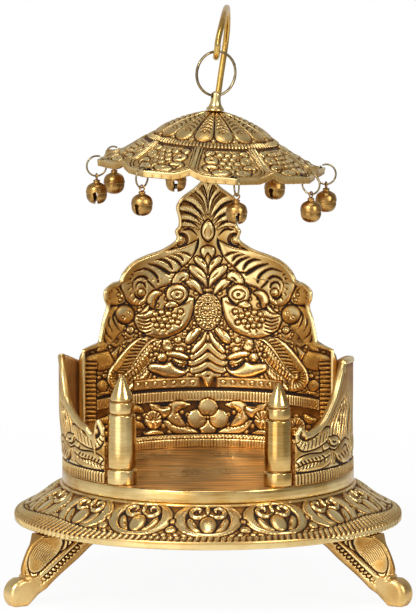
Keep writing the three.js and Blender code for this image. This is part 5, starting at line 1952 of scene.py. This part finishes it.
    def finial(self, finishes: Finishes) -> None:
        """The flared neck with its ring hole.

        Args:
            finishes: The scene's materials.
        """
        foot = self.apex + 0.1
        stud = self.apex - 4.2
        profile = [(0, stud), (1.2, stud), (1.4, stud + 0.2), (1.4, foot), (3.0, foot), (3.5, foot + 0.15),
                   (3.6, foot + 0.45), (3.5, foot + 0.8), (3.1, foot + 1.25), (2.7, foot + 1.8),
                   (2.36, foot + 2.5),
                   (2.12, foot + 3.3), (2.0, foot + 4.2), (1.95, foot + 5.2), (1.95, foot + 6.4),
                   (1.8, foot + 6.95),
                   (1.45, foot + 7.35), (0.8, foot + 7.6), (0, foot + 7.68)]
        piece = turned("turned_finial", profile, 56)
        lean = Matrix.Translation(Vector(self.place) * MM) @ Matrix.Rotation(radians(self.tilt), 4, "Y")
        work = bmesh.new()
        across = Matrix.Rotation(radians(28), 4, "Z") @ Matrix.Rotation(radians(90), 4, "Y")
        rod_of(work, self.ring_eye, 12, 24, across)
        carve_out(piece, work)
        piece.data.transform(lean)
        finished(piece, "umbrella", finishes.bright, "bright_brass", "finial")


# Wires


def wire_tree() -> NodeTree:
    """Builds the tree that sweeps a round wire along a path of edges.

    Returns:
        The tree, with the inputs Wire radius, Facets and Finish.
    """
    tree = bpy.data.node_groups.new("wire_along_a_path", "GeometryNodeTree")
    for name, kind, value in (
        ("Path", "NodeSocketGeometry", None), ("Wire radius", "NodeSocketFloat", 0.001),
        ("Facets", "NodeSocketInt", 12), ("Finish", "NodeSocketMaterial", None),
    ):
        socket = tree.interface.new_socket(name, in_out="INPUT", socket_type=kind)
        if value is not None:
            socket.default_value = value
    tree.interface.new_socket("Wire", in_out="OUTPUT", socket_type="NodeSocketGeometry")
    given = node(tree, "NodeGroupInput")
    path = node(tree, "GeometryNodeMeshToCurve", {"Mesh": given.outputs["Path"]})
    circle = node(
        tree, "GeometryNodeCurvePrimitiveCircle",
        {"Resolution": given.outputs["Facets"], "Radius": given.outputs["Wire radius"]},
    )
    swept = node(
        tree, "GeometryNodeCurveToMesh",
        {"Curve": path.outputs["Curve"], "Profile Curve": circle.outputs["Curve"], "Fill Caps": True},
    )
    smooth = node(tree, "GeometryNodeSetShadeSmooth", {"Geometry": swept.outputs["Mesh"]})
    real = node(tree, "GeometryNodeRealizeInstances", {"Geometry": smooth.outputs["Geometry"]})
    dressed = node(tree, "GeometryNodeSetMaterial", {"Geometry": real.outputs["Geometry"],
        "Material": given.outputs["Finish"]})
    node(tree, "NodeGroupOutput", {"Wire": dressed.outputs["Geometry"]})
    return tree


def wire(name: str, path: Array, radius: float, facets: int, finish: Material) -> Object:
    """Sweeps a wire along a path of points, in millimetres.

    Args:
        name: Name of the object.
        path: Points, one to a row.
        radius: Radius of the wire.
        facets: Facets round the wire.
        finish: Its finish.

    Returns:
        The object, with its mesh made plain.
    """
    tree = bpy.data.node_groups.get("wire_along_a_path") or wire_tree()
    mesh = bpy.data.meshes.new(name)
    mesh.from_pydata((np.asarray(path) * MM).tolist(), [(i, i + 1) for i in range(len(path) - 1)], [])
    piece = linked(name, mesh)
    sweep = piece.modifiers.new("sweep", "NODES")
    sweep.node_group = tree
    sizes = {"Wire radius": radius * MM, "Facets": facets, "Finish": finish}
    for socket in tree.interface.items_tree:
        if socket.name in sizes:
            sweep[socket.identifier] = sizes[socket.name]
    return made_plain(piece)


def made_plain(piece: Object) -> Object:
    """Turns a piece's modifiers into a plain mesh and removes them.

    Args:
        piece: The object.

    Returns:
        The same object.
    """
    graph = bpy.context.evaluated_depsgraph_get()
    result = bpy.data.meshes.new_from_object(piece.evaluated_get(graph))
    piece.modifiers.clear()
    piece.data = result
    result.name = piece.name
    return piece


def carve_out(piece: Object, tool: bmesh.types.BMesh) -> None:
    """Subtracts a tool from a piece and makes the result plain.

    Args:
        piece: The object that is cut.
        tool: The cutting mesh, which is freed.
    """
    mesh = bpy.data.meshes.new("tool")
    tool.to_mesh(mesh)
    tool.free()
    cutter = linked("tool", mesh)
    cut = piece.modifiers.new("cut", "BOOLEAN")
    cut.operation, cut.solver, cut.object = "DIFFERENCE", "MANIFOLD", cutter
    made_plain(piece)
    bpy.data.objects.remove(cutter)
    bpy.data.meshes.remove(mesh)


def rod_of(work: bmesh.types.BMesh, radius: float, length: float, facets: int, matrix: Matrix) -> None:
    """Adds a capped cylinder to a mesh, its sizes in millimetres."""
    bmesh.ops.create_cone(
        work, cap_ends=True, segments=facets, radius1=radius * MM, radius2=radius * MM, depth=length * MM,
        matrix=matrix,
    )


def centripetal(points: Sequence[Point], steps: int) -> Array:
    """Samples a centripetal Catmull-Rom curve, evenly to each span.

    Args:
        points: Points, one to a row.
        steps: Samples to each span.

    Returns:
        The samples, one to a row.
    """
    given = np.asarray(points, float)
    padded = np.vstack([2 * given[0] - given[1], given, 2 * given[-1] - given[-2]])
    rows = []
    for i in range(len(given) - 1):
        a, b, c, d = padded[i : i + 4]
        t0, t1, t2 = (max(np.linalg.norm(q - p) ** 0.5, 1e-4) for p, q in ((a, b), (b, c), (c, d)))
        leave = ((b - a) / t0 - (c - a) / (t0 + t1) + (c - b) / t1) * t1
        reach = ((c - b) / t1 - (d - b) / (t1 + t2) + (d - c) / t2) * t1
        for t in np.arange(steps) / steps:
            rows.append(
                (2 * t**3 - 3 * t**2 + 1) * b + (t**3 - 2 * t**2 + t) * leave
                + (3 * t**2 - 2 * t**3) * c + (t**3 - t**2) * reach
            )
    rows.append(given[-1])
    return np.array(rows)


@dataclass
class HookedRod:
    """The bent rod that carries the umbrella, and the split ring that hangs on its hook."""

    stand: Stand
    wire_radius: float = 1.25
    y: float = 58.15
    hook: tuple[float, float, float] = (3.2, -4.5, 165.4)
    arch: float = 181.0
    lean: float = 7.6
    shoulder: float = 170.0
    bend: float = 104.0
    neck: float = 8.0
    tip: float = 5.2
    foot: float = 31.7
    socket: float = 34.0
    ring_radius: float = 8.7
    ring_drop: float = 0.6
    ring_wire: float = 0.5
    ring_spread: float = 0.28
    ring_turn: float = 28.0

    def build(self, finishes: Finishes) -> None:
        """Builds the rod and the ring.

        Args:
            finishes: The scene's materials.
        """
        w, (hx, hy, hz) = self.wire_radius, self.hook
        rise, reach = self.arch - hz, self.y - hy
        places = [
            (0, self.y, self.foot), (0, self.y, self.foot + self.socket), (0, self.y, self.bend),
            (self.lean * 0.52, self.y, self.bend + (self.shoulder - self.bend) * 0.58),
            (self.lean, self.y - w, self.shoulder - w), (self.lean * 1.02, hy + reach * 0.82,
                hz + rise * 0.86),
            (self.lean * 0.94, hy + reach * 0.55, hz + rise),
            (self.lean * 0.76, hy + reach * 0.27, hz + rise * 0.8),
            (hx + w * 0.6, hy + self.neck, hz + rise * 0.34),
            (hx + w * 0.25, hy + self.neck * 0.36, hz + w * 0.5),
            (hx, hy, hz), (hx + w * 0.1, hy - self.tip * 0.6, hz + w * 1.3),
            (hx + w * 0.6, hy - self.tip * 0.8, hz + self.tip),
        ]
        line = centripetal(places, 10)
        path = self.stand.placed(*line.T)
        rod = wire("drawn_rod", path, w, 20, finishes.rod)
        finished(rod, "rod", finishes.rod, "rod_brass", "canopy_rod")
        middle = sum(box_mm("hanging_ring")) / 2
        turns = np.linspace(0.3, 0.3 + 1.93 * TURN, 130)
        shift = np.linspace(-self.ring_spread, self.ring_spread, turns.size)
        c, s = heading(self.ring_turn)
        flat = self.ring_radius * np.cos(turns)
        coil = np.stack([flat * c - shift * s, flat * s + shift * c,
            (self.ring_radius + 0.12) * np.sin(turns)], axis=1)
        ring = wire("split_ring", coil + middle - (0, 0, self.ring_drop), self.ring_wire, 10, finishes.ring)
        finished(ring, "ring", finishes.ring, "ring_brass", "hanging_ring")


@dataclass
class JingleBells:
    """Eight cast bells, each with a slot, a rim and an eye, on eight open wire rings."""

    tips: tuple[float, ...] = (12, 57, 108, 147, 192, 234, 282, 327)
    yaws: tuple[float, ...] = (-12, 10, -20, 25, 70, 4, -6, 33)
    radius: float = 4.3
    tall: float = 9.8
    eye_radius: float = 1.16
    eye_wire: float = 0.32
    slot: float = 1.3
    slot_tall: float = 5.2
    slot_end: float = 0.95
    link_radius: float = 4.0
    link_wire: float = 0.38

    def shell(self) -> Object:
        """One bell's shell about its eye.

        Returns:
            The bell.
        """
        foot = -self.eye_radius - self.tall
        outer = (
            0, 0, 0.3, 0.012, 0.55, 0.05, 0.74, 0.115, 0.87, 0.2, 0.945, 0.3, 0.965, 0.39, 0.955, 0.43,
            0.96, 0.445, 1, 0.46, 1, 0.5, 0.985, 0.53, 0.965, 0.6, 0.9, 0.69, 0.79, 0.76, 0.62, 0.815,
            0.44, 0.855, 0.31, 0.885, 0.27, 0.92, 0.33, 0.935, 0.33, 0.965, 0.26, 0.985, 0.12, 1.0, 0, 1.0,
        )
        hollow = (
            0, 0.06, 0.5, 0.1, 0.74, 0.2, 0.84, 0.38, 0.82, 0.56, 0.62, 0.7, 0.36, 0.8, 0, 0.82,
        )
        piece = turned("bell_shell", [(self.radius * r, foot + self.tall * z) for r, z in spots(outer)], 40)
        work = bmesh.new()
        inside = turned("bell_hollow", [(self.radius * r, foot + self.tall * z) for r, z in spots(hollow)],
            24)
        work.from_mesh(inside.data)
        bpy.data.objects.remove(inside)
        carve_out(piece, work)
        top = foot + self.slot_tall
        for shape in ("slot", "ends"):
            work = bmesh.new()
            if shape == "slot":
                size = Matrix.Diagonal((self.slot * MM, self.radius * 3 * MM, self.slot_tall * MM, 1))
                place = Matrix.Translation((0, 0, (top - self.slot_tall / 2 - 1.0) * MM))
                bmesh.ops.create_cube(work, size=1.0, matrix=place @ size)
            else:
                lying = Matrix.Translation((0, 0, (top - 1.0) * MM)) @ Matrix.Rotation(radians(90), 4, "X")
                rod_of(work, self.slot_end, self.radius * 3, 14, lying)
            carve_out(piece, work)
        return piece

    def build(self, finishes: Finishes) -> None:
        """Builds the bells and their rings.

        Args:
            finishes: The scene's materials.
        """
        shell = self.shell()
        for i, (tip, yaw) in enumerate(zip(self.tips, self.yaws), 1):
            middle = sum(box_mm(f"bell_ring_{i}")) / 2
            turn = radians(tip)
            c, s = cos(turn), sin(turn)
            angle = np.linspace(2.1, 2.1 + 0.975 * TURN, 40)
            shift = np.linspace(-0.16, 0.16, angle.size)
            flat = self.link_radius * np.cos(angle)
            loop = np.stack([flat * c - shift * s, flat * s + shift * c, self.link_radius * np.sin(angle)],
                axis=1)
            link = wire(f"open_link_{i}", loop + middle, self.link_wire, 10, finishes.ring)
            finished(link, f"link_{i}", finishes.ring, "ring_brass", f"bell_ring_{i}")
            top = box_mm(f"bell_{i}")[1][2]
            eye = np.array([middle[0], middle[1], top - self.eye_radius - self.eye_wire])
            body = shell.copy()
            body.data = shell.data.copy()
            body.name = body.data.name = f"cast_bell_{i}"
            bpy.context.scene.collection.objects.link(body)
            place = Matrix.Translation(Vector(eye) * MM)
            body.data.transform(place @ Matrix.Rotation(turn + radians(90 + yaw), 4, "Z"))
            self.add_eye(body, place @ Matrix.Rotation(turn + radians(90), 4, "Z"))
            finished(body, f"bell_body_{i}", finishes.bell, "bell_bronze", f"bell_{i}")
        bpy.data.objects.remove(shell)

    def add_eye(self, body: Object, place: Matrix) -> None:
        """Adds the eye's loop to a bell's mesh.

        Args:
            body: The bell.
            place: Where the loop's middle stands and how it turns.
        """
        work = bmesh.new()
        work.from_mesh(body.data)
        around, section = 24, 10
        rows = []
        for i in range(around):
            a = TURN * i / around
            rows.append([
                work.verts.new(place @ (Vector((
                    (self.eye_radius + self.eye_wire * cos(b)) * cos(a), self.eye_wire * sin(b),
                    (self.eye_radius + self.eye_wire * cos(b)) * sin(a),
                )) * MM))
                for b in (TURN * j / section for j in range(section))
            ])
        for i in range(around):
            for j in range(section):
                n, k = (i + 1) % around, (j + 1) % section
                work.faces.new((rows[i][j], rows[i][k], rows[n][k], rows[n][j])).smooth = True
        work.to_mesh(body.data)
        work.free()


@dataclass
class Pillar:
    """A turned bullet pillar: two collars with dark grooves and a pointed head."""

    stand: Stand
    name: str
    groove_reach: float = 0.72
    grooves: tuple[float, float] = (0.12, 0.764)
    shares: Run = (
        0.985, 0, 1, 0.008, 1, 0.06, 1, 0.118, 0.985, 0.129, 0.7, 0.131, 0.7, 0.144, 0.92, 0.146,
        0.94, 0.155, 0.945, 0.3, 0.92, 0.5, 0.885, 0.62, 0.87, 0.634, 0.62, 0.636, 0.62, 0.647, 0.8, 0.649,
        0.82, 0.656, 0.835, 0.67, 0.845, 0.7, 0.83, 0.738, 0.815, 0.749, 0.58, 0.751, 0.58, 0.762,
        0.755, 0.764, 0.765, 0.774, 0.74, 0.79, 0.665, 0.82, 0.575, 0.853, 0.475, 0.885, 0.365, 0.917,
        0.25, 0.947, 0.13, 0.975, 0.05, 0.993, 0, 1,
    )

    def build(self, finishes: Finishes) -> None:
        """Builds and dresses the pillar.

        Args:
            finishes: The scene's materials.
        """
        low, high = box_mm(self.name)
        radius = (high[0] - low[0]) / 2
        x, y = (high[0] + low[0]) / 2, (high[1] + low[1]) / 2
        foot = self.stand.seat_z + 0.1
        tall, stud = high[2] - foot, low[2] - foot
        profile = [(0, stud), (1.3, stud), (1.5, stud + 0.2), (1.5, 0.02), (radius * 0.9, 0)]
        profile += [(radius * r, tall * z) for r, z in spots(self.shares)]
        piece = turned("turned_" + self.name, profile, 64, (x, y, foot))
        finished(piece, "throne", finishes.bright, "bright_brass", self.name)
        # The groove floors take the darker cast finish: partly the dark skin that polishing leaves there,
        # partly painted shade
        piece.data.materials.append(finishes.cast)
        for face in piece.data.polygons:
            out = hypot(face.center.x / MM - x, face.center.y / MM - y)
            up = (face.center.z / MM - foot) / tall
            if out < radius * self.groove_reach and self.grooves[0] < up < self.grooves[1]:
                face.material_index = 1


def dress_hardware(finishes: Finishes) -> None:
    """Gives the hidden screws, nuts, pellets and the socket their finishes.

    Args:
        finishes: The scene's materials.
    """
    for piece in bpy.context.scene.objects:
        if piece.type != "MESH":
            continue
        if "screw" in piece.name or "pellet" in piece.name or piece.name.endswith(("left_nut", "right_nut")):
            metal = finishes.steel
        elif piece.name in ("rod_socket", "finial_nut"):
            metal = finishes.bright
        else:
            continue
        for held in piece.material_slots:
            held.material = metal


# Studio


@dataclass(frozen=True)
class Studio:
    """White paper, soft lamps and the camera."""

    eye: tuple[float, float, float] = (0.0, -2.967, 0.530)
    aim: tuple[float, float, float] = (0.0, -0.0072, 0.1135)
    lens: float = 648.0
    fill: float = 0.6
    zenith: float = 0.34
    dim_wall: float = 0.45
    window: tuple[float, float, float] = (-0.52, -0.84, 0.02)
    window_glow: float = 1.5

    def build(self, paper: Material) -> None:
        """Builds the whole studio.

        Args:
            paper: The paper's material.
        """
        self.floor(paper)
        self.world()
        self.lamp("key_softbox", (-0.75, -1.1, 1.1), (0.0, 0.0, 0.12), 0.5, 15.0)
        self.lamp("fill_softbox", (0.95, -0.95, 0.75), (0.0, 0.0, 0.1), 0.5, 8.0)
        self.lamp("top_softbox", (0.0, -0.2, 1.3), (0.0, 0.0, 0.1), 0.35, 2.0)
        self.camera()

    def floor(self, paper: Material) -> None:
        """Lays the paper.

        Args:
            paper: The paper's material.
        """
        mesh = bpy.data.meshes.new("paper_sweep")
        mesh.from_pydata([(-4, -4, 0), (4, -4, 0), (4, 6, 0), (-4, 6, 0)], [], [(0, 1, 2, 3)])
        mesh.materials.append(paper)
        linked("paper_sweep", mesh)

    def world(self) -> None:
        """Pure white for the eye and for rays through glass, a calmer, uneven white for all other rays,
        reflections included.
        """
        world = bpy.data.worlds.new("white_room")
        bpy.context.scene.world = world
        world.use_nodes = True
        tree = world.node_tree
        tree.nodes.clear()
        path = node(tree, "LightPath")
        seen = node(tree, "Math", {0: path.outputs["Is Camera Ray"], 1: path.outputs["Is Transmission Ray"]},
            operation="MAXIMUM")
        white = node(tree, "Background", {"Color": (1, 1, 1, 1), "Strength": 1.0})
        toward = node(tree, "TexCoord").outputs["Generated"]
        parts = node(tree, "SeparateXYZ", {0: toward}).outputs
        level = node(tree, "MapRange", {0: parts["Z"], 1: 0.15, 2: 0.9, 3: self.fill,
            4: self.zenith}).outputs[0]
        # The right wall is dimmer, and a tall window stands at the
        # front left, so that round metal shows bands
        shade = node(tree, "MapRange", {0: parts["X"], 1: 0.4, 2: 0.85, 3: 1.0, 4: self.dim_wall},
            interpolation_type="SMOOTHSTEP").outputs[0]
        level = node(tree, "Math", {0: level, 1: shade}, operation="MULTIPLY").outputs[0]
        faces = node(tree, "VectorMath", {0: toward, 1: self.window},
            operation="DOT_PRODUCT").outputs["Value"]
        glow = node(tree, "MapRange", {0: faces, 1: 0.9, 2: 0.97, 3: 0.0, 4: self.window_glow},
            interpolation_type="SMOOTHSTEP").outputs[0]
        level = node(tree, "Math", {0: level, 1: glow}, operation="ADD").outputs[0]
        calm = node(tree, "Background", {"Color": (1, 1, 1, 1), "Strength": level})
        mixed = node(tree, "MixShader", {0: seen.outputs[0], 1: calm.outputs[0], 2: white.outputs[0]})
        node(tree, "OutputWorld", {"Surface": mixed.outputs[0]})

    def lamp(self, name: str, place: Point, aim: Point, size: float, power: float) -> None:
        """Hangs one square softbox.

        Args:
            name: Name of the lamp.
            place: Where it hangs, in metres.
            aim: What it points at.
            size: Its side, in metres.
            power: Its power, in watts.
        """
        light = bpy.data.lights.new(name, "AREA")
        light.size = size
        light.energy = power
        linked(name, light).matrix_world = self.looking(place, aim)

    def camera(self) -> None:
        """Sets the camera."""
        data = bpy.data.cameras.new("camera")
        data.sensor_fit = "HORIZONTAL"
        data.sensor_width = 36.0
        data.lens = self.lens
        data.clip_end = 30.0
        held = linked("camera", data)
        held.matrix_world = self.looking(self.eye, self.aim)
        bpy.context.scene.camera = held

    @staticmethod
    def looking(place: Point, aim: Point) -> Matrix:
        """A matrix at place whose view runs towards aim."""
        turn = (Vector(aim) - Vector(place)).to_track_quat("-Z", "Y")
        return Matrix.Translation(Vector(place)) @ turn.to_matrix().to_4x4()


# The whole


def main() -> None:
    """Builds every piece in order."""
    logging.basicConfig(level=logging.INFO, format="%(message)s")
    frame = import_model()
    bpy.context.scene.view_settings.view_transform = "Standard"
    finishes = Finishes.make()
    stand = Stand.read()
    for name, builder in (
        ("back panel", BackPanel(stand)),
        ("right arm", Arm(stand, "arm_right", 1.0, 36.6)),
        ("left arm", Arm(stand, "arm_left", -1.0, 45.0, bulge=1.8, crest=LEFT_ARM_CREST)),
        ("base flange", BaseFlange(stand)),
        ("seat drum", SeatDrum(stand)),
        ("front left leg", Leg(stand, "leg_front_left", 210.0)),
        ("front right leg", Leg(stand, "leg_front_right", 330.0)),
        ("rear leg", Leg(stand, "leg_rear", 90.0)),
        ("left pillar", Pillar(stand, "pillar_left")),
        ("right pillar", Pillar(stand, "pillar_right")),
        ("umbrella", Umbrella()),
        ("rod and ring", HookedRod(stand)),
        ("bells", JingleBells()),
    ):
        LOG.info("building the %s", name)
        builder.build(finishes)
    dress_hardware(finishes)
    Studio().build(SweepPaper().build())
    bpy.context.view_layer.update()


if __name__ == "__main__":
    main()
